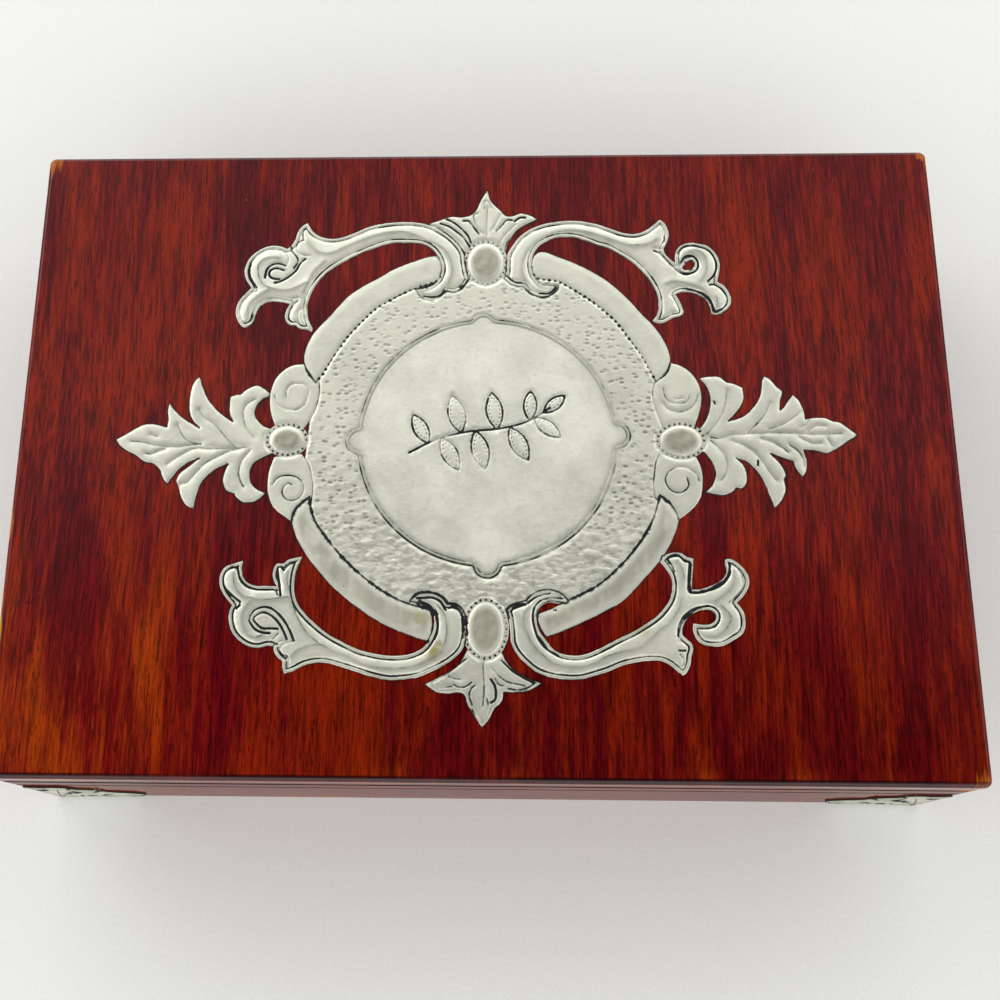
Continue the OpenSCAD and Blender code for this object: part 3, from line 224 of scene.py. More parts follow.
# At the front right
arm_br = [
    (61.2, -74, 1), (62.5, -72.8), (63.6, -70.5), (64, -68), (64.6, -66), (64.3, -64.2), (62.8, -62.8),
    (61.5, -61.5, 1), (61.6, -59.5), (62.8, -57), (65, -55), (67.5, -53.9), (70, -53.8), (71.7, -54.9),
    (71.8, -56.5), (70.6, -57.9), (68, -58.3), (65, -57.9, 1), (64.8, -60), (65.8, -62.8), (67.8, -64.5),
    (70.8, -65), (73.8, -64.7), (77, -63), (79.8, -61), (80.8, -58.5), (80.8, -55.5), (79.8, -53),
    (78.6, -51.5, 1), (80.3, -49.8), (82.3, -46.8), (82.7, -43.8), (81.6, -41.2), (79.2, -38.6),
    (77, -37.5), (75.5, -37.8, 1), (75.4, -39.5, 1), (75.9, -41.5), (75, -43.4), (73.3, -45), (70.5, -46.3),
    (67.5, -47.2), (65.1, -47.3, 1), (65.3, -44), (65.7, -40.5), (66, -37.5, 1), (64, -37), (62.4, -35.9),
    (60.3, -35.6), (58, -36.2), (56.2, -37, 1), (55.6, -38.8, 1), (57, -40.5), (58.6, -43.5), (58.9, -47),
    (58, -50.5), (56, -53.5), (53.5, -56), (50, -58.4), (46, -60.8), (42, -62.7), (38, -64.8), (34, -66.8),
    (31, -67.8), (28, -68), (25, -67.5), (22, -65.9), (20, -63.3), (18, -60.5), (17.2, -57.5),
    (17.4, -54.8), (18.6, -52.5), (21, -51.2), (23.5, -51.3), (25.6, -51.9, 1), (26.8, -51.4), (26, -49.9),
    (24, -48.4), (21, -47.6), (18, -48), (15.6, -49.2), (14, -51, 1), (11.5, -51.8), (9, -52.9),
    (7.9, -54.2, 1), (8.6, -57), (9, -61), (9.3, -64.5), (10.8, -67.5), (13.5, -70.5), (17, -73.2),
    (21, -74.6), (26, -75.3), (30.5, -75.2), (35, -74), (39, -72.7), (43, -71), (47.5, -69.9),
    (51.5, -69.4), (55, -69.6), (57.5, -70.8), (59.5, -72.6)
]

# Eye pierced in the curl of the back right arm
hole_tr = [
    (66.7, 61.1), (67.6, 62.8), (69.2, 64.1), (70.6, 63.4), (70.3, 61.7), (68.6, 60.7)
]

# Sliver pierced under the hook of the front right arm
hole_br = [
    (17.7, -55, 1), (18.4, -53), (20.5, -51.7), (24.6, -52.1, 1), (21, -53.9)
]
arms = [arm_tl, arm_tr, arm_bl, arm_br]
pierced = [hole_tr, hole_br]
print(sum(map(len, arms)), "points in", len(arms), "arms")

# %% Bands of the frame
# Back left
band_ul = [
    (-13.2, 62), (-14.2, 65.3), (-16.7, 66.1), (-21.7, 64.6), (-30, 61), (-35, 57.9), (-40, 54.9),
    (-45, 51), (-50, 44.9), (-55, 39), (-57.5, 34.3), (-58.5, 29.5), (-57.5, 25.5), (-54.3, 20.8, 1),
    (-51.7, 24.3), (-50, 27.7), (-46.7, 33.2), (-43.3, 38.2), (-38.9, 43.2), (-35, 47.1), (-30, 50.3),
    (-25, 53), (-21.1, 54.6), (-15.8, 56.5), (-13.8, 58.6)
]

# Back right
band_ur = [
    (16.6, 62), (17.5, 66), (20, 67.5), (25, 65.8), (30, 63.6), (36, 60.5), (42, 56.3), (48, 50.3),
    (52, 45.5), (56, 40.8), (59.5, 35.3), (61.3, 30), (60.8, 26), (59.5, 23.6), (56.4, 20.9, 1), (54, 26),
    (52, 30), (48.5, 35.5), (44, 42), (39, 47), (34, 51), (28, 55), (25, 56.6), (18.8, 57.6), (17.2, 59.2)
]

# Front left
band_ll = [
    (-15, -57.5), (-15.2, -61), (-16.3, -64, 1), (-20, -62.9), (-25, -61), (-30, -58.8), (-36, -55.3),
    (-42, -50.8), (-48, -45.4), (-52.5, -40.3), (-57, -34), (-59, -30), (-60, -25.5), (-58.6, -21.5),
    (-54.7, -17.9, 1), (-54.3, -21), (-52.5, -26), (-49, -31), (-45, -36), (-40, -41), (-35, -45.2),
    (-30, -48.7), (-25, -51.3), (-20, -53), (-16, -54)
]

# Front right
band_lr = [
    (17.4, -57), (18.4, -60), (20, -62.5, 1), (25, -60.6), (31, -58), (37, -55), (43.5, -51.3), (48, -46.9),
    (53, -41.5), (57.2, -36.2), (60, -31), (61.8, -25.2), (60, -20.8), (56.4, -17.2, 1), (55.5, -20),
    (54.3, -24), (51.6, -29.5), (47.5, -35.2), (42.8, -40.4), (37.8, -45), (33, -48), (28.5, -50.2),
    (24.6, -52.1), (21, -53.9), (18, -54.9)
]
bands = [band_ul, band_ur, band_ll, band_lr]
print(sum(map(len, bands)), "points in", len(bands), "bands")

# %% Volutes beside the frame
# Left, rear
vol_ul = [
    (-66.8, 5.8, 1), (-68.2, 9.5), (-69, 14), (-68.9, 18), (-67.6, 22), (-65.2, 25), (-62, 26.9),
    (-58.6, 27.4, 1), (-53.3, 22.5, 1), (-52.9, 18), (-53.4, 14), (-54.8, 9.5), (-57.4, 4.8, 1)
]

# Left, front
vol_ll = [
    (-66.7, -4.5, 1), (-68, -9), (-68.4, -13), (-68.2, -16.5), (-67, -20), (-65, -22.5), (-62.5, -24.3),
    (-60.2, -26, 1), (-54.2, -21, 1), (-53.8, -15), (-54.3, -11), (-55.5, -7), (-57.8, -3.6, 1)
]

# Right, rear
vol_ur = [
    (58.2, 4.8, 1), (56.7, 9), (55.5, 13), (55.2, 17.5), (56.2, 21.5, 1), (61.3, 27.6, 1), (64.5, 26.5),
    (67.5, 24.3), (69.7, 21), (70.8, 17), (70.6, 13), (69.3, 8.5), (68, 5.5, 1)
]

# Right, front
vol_lr = [
    (57.2, -2.5, 1), (55.5, -6), (54.8, -10), (54.4, -14), (54.7, -18, 1), (61.8, -25.2, 1), (65, -22.8),
    (67.8, -20), (69.5, -16.5), (70, -12), (69.6, -8), (68.2, -4.3, 1)
]
volutes = [vol_ul, vol_ll, vol_ur, vol_lr]
print(sum(map(len, volutes)), "points in", len(volutes), "volutes")

# %% Palmettes
# At the back
palm_t = [
    (-18.5, 78, 1), (-14, 79.6), (-10.5, 80.8), (-7, 80.6), (-4, 81.3), (-2.2, 83), (-0.5, 87),
    (2, 91.3, 1), (2.6, 87.5), (4, 85.2), (6.2, 83), (8, 81), (10.3, 80.9), (13, 81.9), (16, 81.2),
    (19, 79.4, 1), (16, 78), (13, 76.4), (10.5, 73.7), (8.5, 70), (7.4, 65, 1), (-4.5, 65, 1), (-9, 71.5),
    (-13, 75)
]

# At the front
palm_b = [
    (-17.2, -77, 1), (-14, -79.2), (-10.5, -79.9), (-6.5, -79.6), (-4.9, -80.6), (-4.2, -83), (-2, -86.5),
    (0.3, -90, 1), (2.5, -87.5), (4, -84.5), (6.5, -82), (7, -79.3, 1), (10.5, -79.4), (14, -79),
    (17, -77.6), (18.7, -76.4, 1), (15, -75.3), (11, -73), (8, -70.2), (6, -66, 1), (-4, -66, 1), (-7, -71),
    (-11, -73.8), (-15, -76)
]
print(len(palm_t) + len(palm_b), "points in 2 palmettes")

# %% Acanthus leaves and plate
# Leaf at the left
leaf_l = [
    (-118.7, 1.2, 1), (-114.5, 3.8), (-111.5, 5.7), (-108.5, 6.7), (-105.5, 6.5), (-102.3, 5.6, 1),
    (-102, 8), (-102.4, 11), (-102, 14, 1), (-99.5, 11), (-96, 8), (-91.5, 5.2, 1), (-94, 8), (-95.2, 11),
    (-95.4, 15), (-95, 19), (-94, 21.6), (-92.5, 23.3, 1), (-91.3, 19.5), (-89.5, 15.5), (-86.5, 11.8),
    (-83.5, 9.3), (-80.7, 7.4, 1), (-82, 10), (-82.2, 13), (-82.2, 16, 1), (-80, 16.8), (-78.8, 16.8, 1),
    (-76.5, 18.8), (-73.5, 20), (-71, 18.9), (-69, 17.2, 1), (-69.3, 16, 1), (-71, 15.2), (-73, 12.8),
    (-73.6, 10), (-72.2, 7.4), (-70, 5.6), (-66, 4.5, 1), (-66, -3, 1), (-68.5, -4.1), (-71, -5.3),
    (-73.5, -7.5), (-74.1, -10.5), (-73.4, -13.5), (-71.5, -15.4), (-68.6, -16.7, 1), (-70.5, -18.6),
    (-73, -19.8), (-76, -19.8), (-78.2, -18.3), (-79, -17, 1), (-81.5, -16), (-82.8, -13.5), (-82.8, -10.8),
    (-81.6, -7.1, 1), (-84.5, -8.4), (-87.5, -10.8), (-89.8, -14), (-91, -18), (-91.6, -21.9, 1),
    (-94, -21), (-96, -18), (-97, -15), (-98, -12.6, 1), (-97, -10.2), (-94.5, -8), (-91, -5.1, 1),
    (-94.5, -6.8), (-98, -10), (-100.6, -14, 1), (-102.3, -12), (-103.6, -9), (-105.8, -7), (-108.5, -6.5),
    (-111.5, -4.3), (-114.5, -2.8), (-117.3, -0.8)
]

# Leaf at the right
leaf_r = [
    (119.7, 2.7, 1), (117, 5), (114, 7.2), (112, 7.5, 1), (109.5, 8.6), (106, 8.6), (103.5, 8.2, 1),
    (103, 11.5), (101.8, 14.5), (100, 16.6, 1), (98.3, 14.5), (96.8, 12.2), (95.6, 11.2, 1), (95.8, 14),
    (96.9, 17.5, 1), (94.8, 19.5), (93, 21.8), (91, 23, 1), (90.3, 20.5), (89.8, 17), (88.3, 13.8),
    (86, 11), (83, 8.8), (79, 7.6, 1), (81, 9.5), (83.3, 12.5), (84.4, 15.5), (84.1, 18.9, 1), (81.5, 20.2),
    (79, 20.8, 1), (77, 22.5), (74, 22.8), (70.3, 22.2, 1), (72.3, 19.5), (73.4, 15.5), (73, 11.5),
    (71.8, 8), (70, 5.5), (68, 4, 1), (68, -2, 1), (69.8, -2.5), (71.5, -4), (73.3, -6.8), (74, -10),
    (73.2, -13), (71.8, -15), (70, -16.2, 1), (73.5, -17), (76.5, -17.2), (79, -16.2), (80.3, -14.9, 1),
    (82.3, -15), (83.7, -13.2), (84, -10.5), (83.2, -7.5), (80.7, -4.8, 1), (84, -6.2), (87, -9.5),
    (89.3, -13.5), (90.5, -17), (92, -21.4, 1), (94.3, -19), (95.8, -15.5), (95.5, -12, 1), (96.2, -10.5),
    (94.8, -7), (91.7, -3.4, 1), (95, -4.8), (98.5, -6, 1), (99.3, -8.5), (101.2, -11.2, 1), (102.5, -9.5),
    (103, -6), (102.3, -2.3, 1), (105, -2.4), (109.5, -3.3), (112.5, -2), (115.5, 0), (118, 1.6)
]

# Hammered plate: it ends just under the four bands
plate = [
    (1.6, 58.6), (-21, 55.8), (-39, 45.2), (-52, 27.6), (-56.2, 1), (-55.6, -22), (-44.6, -38.4),
    (-23, -53.6), (1.6, -56.6), (22, -54.6), (43, -41.6), (56.2, -20), (59, 1), (55.4, 26), (41.4, 47.4),
    (20, 58.4)
]
leaves = [palm_t, palm_b, leaf_l, leaf_r]
print(len(leaf_l) + len(leaf_r), "points in 2 leaves,", len(plate), "in the plate")

# %% [markdown]
# ## The chased lines
# After sawing, the sheet is worked from both sides. Creases are pushed up from behind, lines are drawn in
# from the front with a blunt chisel, and a dark patina is rubbed in and wiped off again: it stays where the
# tool went deep. Every line here is open: it starts and ends where the tool did. They could be painted on by
# the finish alone; kept as lines, they can both cut into the metal and darken it.

# %% Lines cut deep, full of black patina
black = [
    [(-59.9, 76.6), (-60.7, 75.2), (-60.5, 72.8)],
    [(-60.3, 72.2), (-62.3, 71.3), (-62.8, 70.1)],
    [(-59.4, 65.2), (-60.9, 63.8), (-62.6, 60.7), (-65.1, 58.4), (-67.4, 57), (-69.4, 56.4)],
    [(-64.4, 69.8), (-64.3, 68.4), (-62.3, 65.8), (-61.9, 64.4), (-63.2, 61.8)],
    [(-66, 62.7), (-67.7, 63.4), (-69.7, 63.4), (-71.4, 62.5), (-72.4, 61), (-72.8, 58.4)],
    [(-66.4, 61), (-69.1, 61.8), (-71, 61), (-71.4, 59.3), (-70.2, 58.1), (-67.9, 57.8)],
    [(-77.9, 63.8), (-78.2, 60.4), (-77.3, 57.6), (-75.3, 54.7)],
    [(-61.4, 49.9), (-63.1, 48.2), (-64.1, 45.6), (-64.1, 43.4), (-63.1, 42.4)],
    [(-19.3, 51.4), (-16.4, 51.1), (-14.1, 51.6), (-12.4, 53.4)],
    [(-7.3, 54.5), (-5.6, 55.9), (-4.8, 57.3)],
    [(-14.1, 78.1), (-11.1, 76.9), (-8.5, 74.9), (-6.2, 72.7), (-4.2, 69.5)],
    [(-11.9, 79.6), (-9.9, 78.6), (-7, 76.1), (-4.8, 73.5), (-3.8, 71)],
    [(-6.3, 79.1), (-4.5, 78.9), (-2.8, 76.6), (-1.1, 74.1)],
    [(14.3, 80.1), (12.8, 80.1), (11, 78.8)],
    [(10.1, 79.2), (8.3, 79.2), (6.8, 77.5), (4.9, 75.2)],
    [(9.3, 72.6), (8.3, 70.8), (7.7, 68.1)],
    [(24.6, 54.5), (23.1, 52.9), (21.3, 52.2), (19.2, 52.3)],
    [(13.1, 56.1), (11, 56.4), (9.2, 57.8), (8, 58.7)],
    [(61, 73), (61, 71.5), (60.4, 70.6)],
    [(57.3, 67.6), (59.8, 66.4), (61.6, 64.2), (63.4, 61.8), (65.2, 60), (67, 58.9), (68.8, 59.1),
     (70.7, 60), (71.7, 61.5), (71.7, 63.6), (70.7, 65.2), (69.2, 65.8), (67.3, 65.2), (66.3, 63.6)],
    [(65.2, 66.7), (67, 68.8), (69.8, 69.5), (72.8, 68.9), (75.5, 67.6), (77.3, 64.8), (77.8, 61.8),
     (76.9, 58.8), (74.8, 56.4)],
    [(75.2, 55), (76.7, 55.2), (78.8, 53.9), (80.2, 52)],
    [(76.1, 45.8), (75.5, 48.5), (73.7, 50.9), (71.3, 52.7), (68.2, 53.5)],
    [(-57.7, -63.9), (-59.2, -60.5), (-61.4, -57.2), (-63.8, -54.8), (-66.2, -53.6), (-68.6, -53.7),
     (-70.5, -54.8), (-71.8, -57.2), (-71.1, -59), (-69.5, -60.7), (-67.4, -61.5), (-65.2, -61.7)],
    [(-59.8, -63.6), (-61.1, -60.8), (-62.9, -58.1), (-65.3, -56), (-67.7, -55.2), (-69.5, -56),
     (-70.5, -57.2), (-69.8, -58.4), (-67.7, -60.1), (-65.3, -60.2), (-62.9, -60.3)],
    [(-80.8, -44.8), (-80.2, -47.2), (-78.3, -49.3), (-75, -51.9)],
    [(-75.9, -53.9), (-75, -53)],
    [(-63.8, -41.5), (-63.2, -45.1), (-62.4, -49.8)],
    [(-62.6, -40.7), (-61.8, -41.8)],
    [(-62, -67.2), (-61.1, -68.3), (-59.5, -68.7)],
    [(-19.8, -50.5), (-17.8, -50.4), (-15.1, -50.3), (-12.9, -51.3), (-11.7, -52.8), (-11.1, -54)],
    [(-9.9, -53.5), (-8.4, -53.1), (-6.9, -54), (-5.7, -56.1), (-5.4, -59), (-5.6, -62.6)],
    [(-19.9, -52), (-18.1, -53.7)],
    [(-19, -51.4), (-16, -52.8), (-14.2, -55.2), (-13.4, -57.9), (-13.5, -61), (-14.3, -63.1)],
    [(14.6, -51.7), (16.8, -50.1), (19.2, -49.2), (21.2, -48.8)],
    [(9.2, -54.5), (10.1, -53.4), (11.9, -52.3), (13.9, -52.3)],
    [(25.1, -50.4), (22.2, -50.2), (19.2, -50.7), (17.4, -51.9), (16.2, -54), (16, -57), (16.5, -59.8),
     (17.7, -63.1), (19.8, -65.8), (23.7, -68.2)],
    [(23.4, -51.3), (25.7, -51.7)],
    [(59.8, -41.5), (59.2, -39.9), (58.1, -38.4), (58.1, -37.2), (59.8, -36.6), (61.6, -36.9),
     (63.1, -38.4)],
    [(63.7, -38.6), (64.6, -38.7), (64.9, -39.9), (64.5, -43.6), (64.3, -46), (64.6, -48)],
    [(64.6, -48.3), (67.1, -48.3), (70.1, -47.5), (72.8, -46), (74.9, -44.8), (76.2, -43.3), (76.8, -41.2),
     (77.1, -39)],
    [(60.2, -61.8), (60.7, -59.6), (62.2, -56.9), (64.3, -54.8), (66.8, -53.1), (69.5, -52.5)],
    [(60.4, -66.3), (62.2, -66.3)],
    [(6.2, -69.6), (7.7, -71), (10.1, -73.1), (13.1, -74.9), (16.2, -76.4)],
    [(3.1, -75.5), (4.3, -77.6), (4.6, -79.8), (4.3, -81.6), (3, -82.5)],
    [(87.6, -5.9), (87.5, -7.4)],
    [(74.7, 14.2), (75, 13.4)]
]
print(len(black), "black lines")

# %% Lines drawn less deep: dark grey
dark = [
    [(-62.8, 70.1), (-62.5, 68.6), (-60.8, 66.9), (-57.9, 66.4)],
    [(-71.9, 68.8), (-69.1, 68.7), (-66.8, 67.8), (-65.4, 66.1), (-65.1, 64.9), (-65.4, 63.5)],
    [(-75.3, 53.6), (-77.6, 52.4), (-79.9, 49.9), (-80.7, 47), (-79.9, 43.6), (-77.9, 42.2), (-76.2, 43.6),
     (-75.9, 45.6), (-74.5, 48.2), (-72.2, 49.9), (-69.1, 50.5), (-65.1, 50.2), (-61.1, 51)],
    [(-60, 47.3), (-61.1, 45.6), (-60.7, 42.8), (-60, 41.4), (-58.3, 41.1), (-58.6, 43.7), (-59, 46.8)],
    [(-18.1, 78.1), (-14.7, 76.6), (-10.7, 73.2), (-7.9, 70.4), (-5.9, 66.4)],
    [(-1.4, 82), (-2.8, 81.2), (-2.7, 79.5), (-1.4, 76.1), (0.1, 74.4)],
    [(0.6, 83.5), (1.2, 86.6), (3.5, 83.5)],
    [(6.2, 81.4), (5.2, 79), (3.3, 75.4)],
    [(11.3, 77.5), (9.5, 75.7), (7.4, 73.2), (6.2, 71.1)],
    [(19.2, 52.3), (16.2, 53.5), (14, 55.7)],
    [(59.5, 77.6), (60.5, 76.4), (60.5, 74.2)],
    [(57.3, 68.5), (59.8, 68.3)],
    [(80.2, 52), (80.7, 49.7), (79.8, 47.3), (77.9, 45.5), (76.1, 45.3)],
    [(68.2, 53.5), (65.2, 53.6), (63.1, 52.7), (63.7, 49.7), (64.6, 47.6), (64.9, 45.2), (62.8, 45)],
    [(-80.2, -42.4), (-78, -40.8), (-76.2, -41.8), (-75.6, -43.9), (-73.8, -46.3), (-70.5, -47.8),
     (-66.8, -48.1), (-64.4, -48), (-63.3, -49.8)],
    [(-61.8, -41.8), (-59.8, -39.9), (-57.7, -38.7)],
    [(-59.8, -63.6), (-62, -64.2), (-63.8, -65.4)],
    [(-64.1, -63.3), (-62.6, -61.8)],
    [(-57.9, -64.2), (-59.8, -64.5), (-61.8, -66), (-62, -67.2)],
    [(-60.8, -69.3), (-59.2, -69.3), (-59.2, -72.4)],
    [(-14.8, -76.6), (-11.7, -74.6), (-7.8, -71.9), (-4.5, -69.2)],
    [(-15.1, -76.9), (-13.2, -78.1), (-8.7, -77.6)],
    [(-8.4, -76.9), (-6.9, -77.8), (-5.1, -77.8), (-3.5, -77), (-2.9, -76.4)],
    [(-1.7, -77.3), (-2.9, -78.3), (-3.5, -80.4), (-2.6, -83.1)],
    [(-2.6, -84.6), (0.1, -88.2), (1.6, -85.8), (2.2, -83.4), (1.9, -81.3)],
    [(16.2, -76.7), (13.7, -78.1), (11, -78.5), (8.3, -78.2)],
    [(4.3, -75.2), (5.5, -77), (6.8, -77.3)],
    [(23.1, -48.8), (24.9, -50.1)],
    [(77.1, -38.9), (78.9, -40.2), (80.1, -42.1), (80.7, -44.8), (80.1, -47.2), (78.3, -49.3), (76.2, -51.3)],
    [(69.5, -52.5), (71.6, -53), (72.8, -54.5), (72.8, -56.9), (71.6, -58.4), (69.8, -59.2), (65.8, -59.2),
     (66.2, -62.1)],
    [(60.4, -63.3), (61.9, -63.6), (63, -64.8)],
    [(60.5, -67.5), (61.5, -68.7), (61.5, -70.5), (60.7, -71)],
    [(68.7, -12.3), (68, -10.1), (65, -8.2), (61.7, -8.1), (59.2, -9.7), (58.2, -12.3), (59.2, -14.9),
     (61.4, -16.3), (63.6, -16), (65.4, -14.1), (65, -11.5)],
    [(-63.7, 15.8), (-63.7, 18.2), (-62.4, 20.1), (-59.9, 20.6), (-57.6, 19.9), (-56.5, 17.9), (-57.3, 13.8),
     (-59.1, 12), (-61.3, 11.4), (-64.3, 12), (-66.5, 13.8), (-67.6, 16.4)],
    [(-60.6, -13.9), (-61.7, -13.4), (-63.2, -14.9), (-63.5, -16.7), (-62.1, -18.7), (-59.9, -19.1),
     (-58, -18.2), (-56.7, -15.6), (-57.3, -13), (-59.1, -11.4), (-61.7, -10.8), (-65, -11.5),
     (-66.8, -13.8)],
    [(58.6, 18.6), (59.2, 15.7), (61, 13.8), (63.6, 13.5), (66.1, 14.2), (66.9, 16)],
    [(62.1, 14.9), (64.7, 15.3)]
]
print(len(dark), "dark lines")

# %% Soft lines: the valleys of the leaves
soft = [
    [(-113.5, 0.7), (-110.1, 0.5), (-106.1, -0.5), (-102.1, -1), (-97.8, -1.2), (-93.6, -0.5), (-90.7, -0.2)],
    [(-90.7, -0.2), (-94.1, 0.4), (-96.4, 2.1), (-97.6, 4.1), (-98.7, 6.1)],
    [(-87, -1.9), (-92.2, -1.7), (-94.7, -2.7), (-97, -4.1), (-99.3, -5.6), (-101, -7)],
    [(-102.1, -1.9), (-104.4, -2.7), (-106.6, -3.6), (-108.4, -3.4)],
    [(-107.2, 3), (-105.2, 2.4)],
    [(-89, -6.7), (-91.9, -10.1), (-94.1, -13), (-96.4, -13.8)],
    [(-92, 11.3), (-89.9, 8.6), (-86.7, 6.5), (-83.4, 2.8), (-80.8, -0.1), (-79, -1.6)],
    [(-90, -1.7), (-84.5, -1.8), (-79, -1.6), (-75.7, -1.3)],
    [(-90, -7.1), (-85.2, -4.6), (-81.5, -2.7), (-77.9, -1.6)],
    [(-73.8, 15.1), (-76.4, 13.5), (-77.5, 10.9), (-77.1, 7.6), (-75.7, 4.6), (-73.5, 2.1)],
    [(-74.6, -2.4), (-77.1, -6), (-77.9, -10.1), (-76.8, -13.4), (-76, -14.5)],
    [(72, 3.2), (74.6, 6.1), (76.8, 9.4), (78.3, 13.5), (79, 17.9)],
    [(84.9, 3.5), (87.1, 5.7), (88.9, 7.6), (90.8, 10.1), (92.4, 13.4)],
    [(73.1, 2.1), (76.1, 1.7), (79.4, 2.8), (83.4, 3.2), (90, 3.4), (95.4, 3.5), (99.9, 3.4), (105, 3),
     (109.6, 3.1), (114.7, 3.4)],
    [(73.1, 1), (75.3, -1.3), (77.2, -3.8), (77.9, -6.8), (77.2, -10.1), (75.7, -12.3)],
    [(79.7, 1), (84.5, -1.3), (88.2, -4.6), (90.8, -9), (93, -12.4)],
    [(89.1, 1.5), (92.5, 0.4), (95.4, -1.3), (97.4, -3)],
    [(97.9, -0.5), (100.2, -2.2), (101.6, -4.4), (102.2, -7.6)],
    [(91.7, 4.9), (95.4, 6.1), (99.6, 8.6), (102.2, 10.9)],
    [(101.9, 5.5), (103.6, 6.4), (104.5, 7.8)],
    [(103.9, 3.8), (105, 4.9), (106.7, 5.8), (109.6, 5.8)],
    [(101.1, 2.1), (102.5, 1.3), (105.3, 0.1), (107.9, 0.1)],
    [(110.1, 1.5), (111.3, -0.7)],
    [(1.8, 84), (1.6, 78.6), (1.5, 73)],
    [(0.7, -70.4), (0.8, -74.3), (1, -77.3), (0.7, -83.4)],
    [(3.7, -72.2), (5.5, -74.3), (8, -76.1), (10.7, -76.7), (13.4, -77.3)],
    [(-9.9, -74.6), (-8.1, -75.2), (-6, -75.4)],
    [(58.4, 13.8), (59.9, 11.6), (63.2, 10.7), (66.5, 11.6), (68.7, 13.8), (69.8, 16.8)]
]
print(len(soft), "soft lines")

# %% Creases of the arms, pushed up from behind
creases = [
    [(-58.9, 71.8), (-57.2, 69.5), (-54.9, 67.8), (-50.9, 67.5), (-45.5, 70), (-36.9, 73.8), (-31, 75),
     (-25, 74.8), (-19.3, 72.1), (-13.6, 69.3), (-11.3, 66.4), (-10, 61), (-11.2, 56.5)],
    [(-53.2, 64.4), (-56.6, 60.4), (-58.3, 56.4), (-59.7, 53.6)],
    [(-68.5, 65.8), (-70.8, 66.1), (-73.6, 65.2), (-75.1, 63.2), (-75.3, 61), (-74.5, 57.6), (-73.1, 55.8),
     (-70.2, 54.4), (-66.8, 53.9), (-64, 54.2), (-61.4, 55.3), (-58.6, 56.7)],
    [(-70.5, 54.4), (-72.8, 53.3), (-75.6, 51.3), (-77.6, 49), (-78.3, 45.6)],
    [(58.5, 72.1), (56.7, 70.9), (54, 70), (50, 69.7), (45, 71.2), (38, 74), (31, 75.4), (24, 74.4),
     (18.6, 71.2), (14.4, 66.6), (13.2, 61), (14.6, 57)],
    [(61, 55.8), (62.8, 56.5), (65.8, 56.4), (69.2, 55.5), (73.1, 53.9)],
    [(69.2, 67.6), (71.3, 67.9), (73.7, 66.4), (74.6, 63.6), (74.3, 60), (72.2, 56.4)],
    [(77.3, 50.9), (77.6, 47.9)],
    [(-77.7, -43), (-76.8, -47.2), (-74.4, -49.9), (-70.8, -50.8), (-66.8, -51.2), (-62.3, -50.5),
     (-59.8, -50.1)],
    [(-71.2, -51), (-73.5, -53.6), (-74.4, -56.9), (-73.5, -60.2), (-71.7, -62.4), (-69.8, -63),
     (-67.6, -62.4)],
    [(-60.5, -42.1), (-60.6, -45.1), (-59.5, -48.7), (-58.9, -51.2), (-57.7, -54.8), (-55.9, -58.4),
     (-53.5, -61.8), (-50.2, -64.5)],
    [(-58.6, -69), (-55.9, -66.6), (-52.3, -65.4), (-49.2, -65.2), (-45.6, -67.2), (-42, -68.2),
     (-37.5, -70.7), (-32.9, -71.9), (-28.4, -72.3), (-23.8, -72.2), (-20.8, -71.6), (-16.3, -69.5),
     (-12.9, -67.6), (-11.1, -64.6), (-10.5, -61), (-10.8, -57.6), (-11.7, -54.9), (-13.5, -52.8)],
    [(14.9, -52.8), (13.4, -54.9), (13.1, -57.6), (14.3, -61.6), (16.2, -65.2), (19.2, -68.2), (22.2, -70.4),
     (25.2, -71.1), (29.8, -71.3), (34.3, -70.4), (38, -68.4), (42.5, -66.9), (48.6, -65.4), (51.6, -63),
     (54.9, -59.9), (57.4, -58.1), (59.2, -55.7), (61, -53), (61.6, -50.2)],
    [(60.7, -38.1), (62.2, -40.8), (62.8, -43.6)],
    [(73.7, -52.5), (75.5, -54.2), (76.5, -56), (75.8, -58.1), (74.3, -60.2), (71.9, -61.8), (69.8, -61.8)],
    [(78, -41.5), (78.1, -43.9), (77.1, -46.6), (74.3, -49.3), (71.9, -51)]
]
print(len(creases), "creases")

# %% Bosses, medallion and sprig
# bosses: centre, half-width and half-height of the dome
bosses = [(-62.8, 1.2, 4.6, 3.4), (63.6, 0.9, 5.6, 3.9), (1.2, 63.5, 4.9, 6), (1.4, -60, 4.7, 7.3)]
# the medallion is a circle broken by four small lobes
medallion = (1.8, 1.2, 41.6)
lobes = [(0.5, 40.6, 4.3), (1.9, -39.7, 4.4), (-39.3, 0.7, 4.4), (43.1, 2.6, 4.5)]
# the sprig: its stem, and for each leaf where it starts, its direction in degrees and its length
stem = [(-23, -3), (-14, 1.5), (-4, 4), (6, 5), (15, 7.5), (22, 12)]
sprig = [(-17, 0, 118, 11), (-13, 1.8, -62, 12), (-6.5, 3.6, 104, 13), (-2, 4.2, -76, 13), (5, 4.8, 98, 12.5),
         (9, 5.4, -62, 12.5), (15.5, 7.8, 88, 10), (17, 8.6, -38, 10.5), (20, 10.4, 40, 9)]
print(len(bosses), "bosses,", len(lobes), "lobes and", len(sprig), "leaves on the sprig")

# %% [markdown]
# ## Chasing the relief
# The sheet is one piece of metal, so it becomes one mesh: a fine net of points, denser where a tool has been,
# lifted to the height the hammer and the punches left there. Forms lie over each other as they do in the
# ornament: the arms pass over the frame, the frame over the volutes, and the bosses lie on top, each in a
# collar. A bump in the finish could show the same from above, but a real mesh has true edges and shadows.

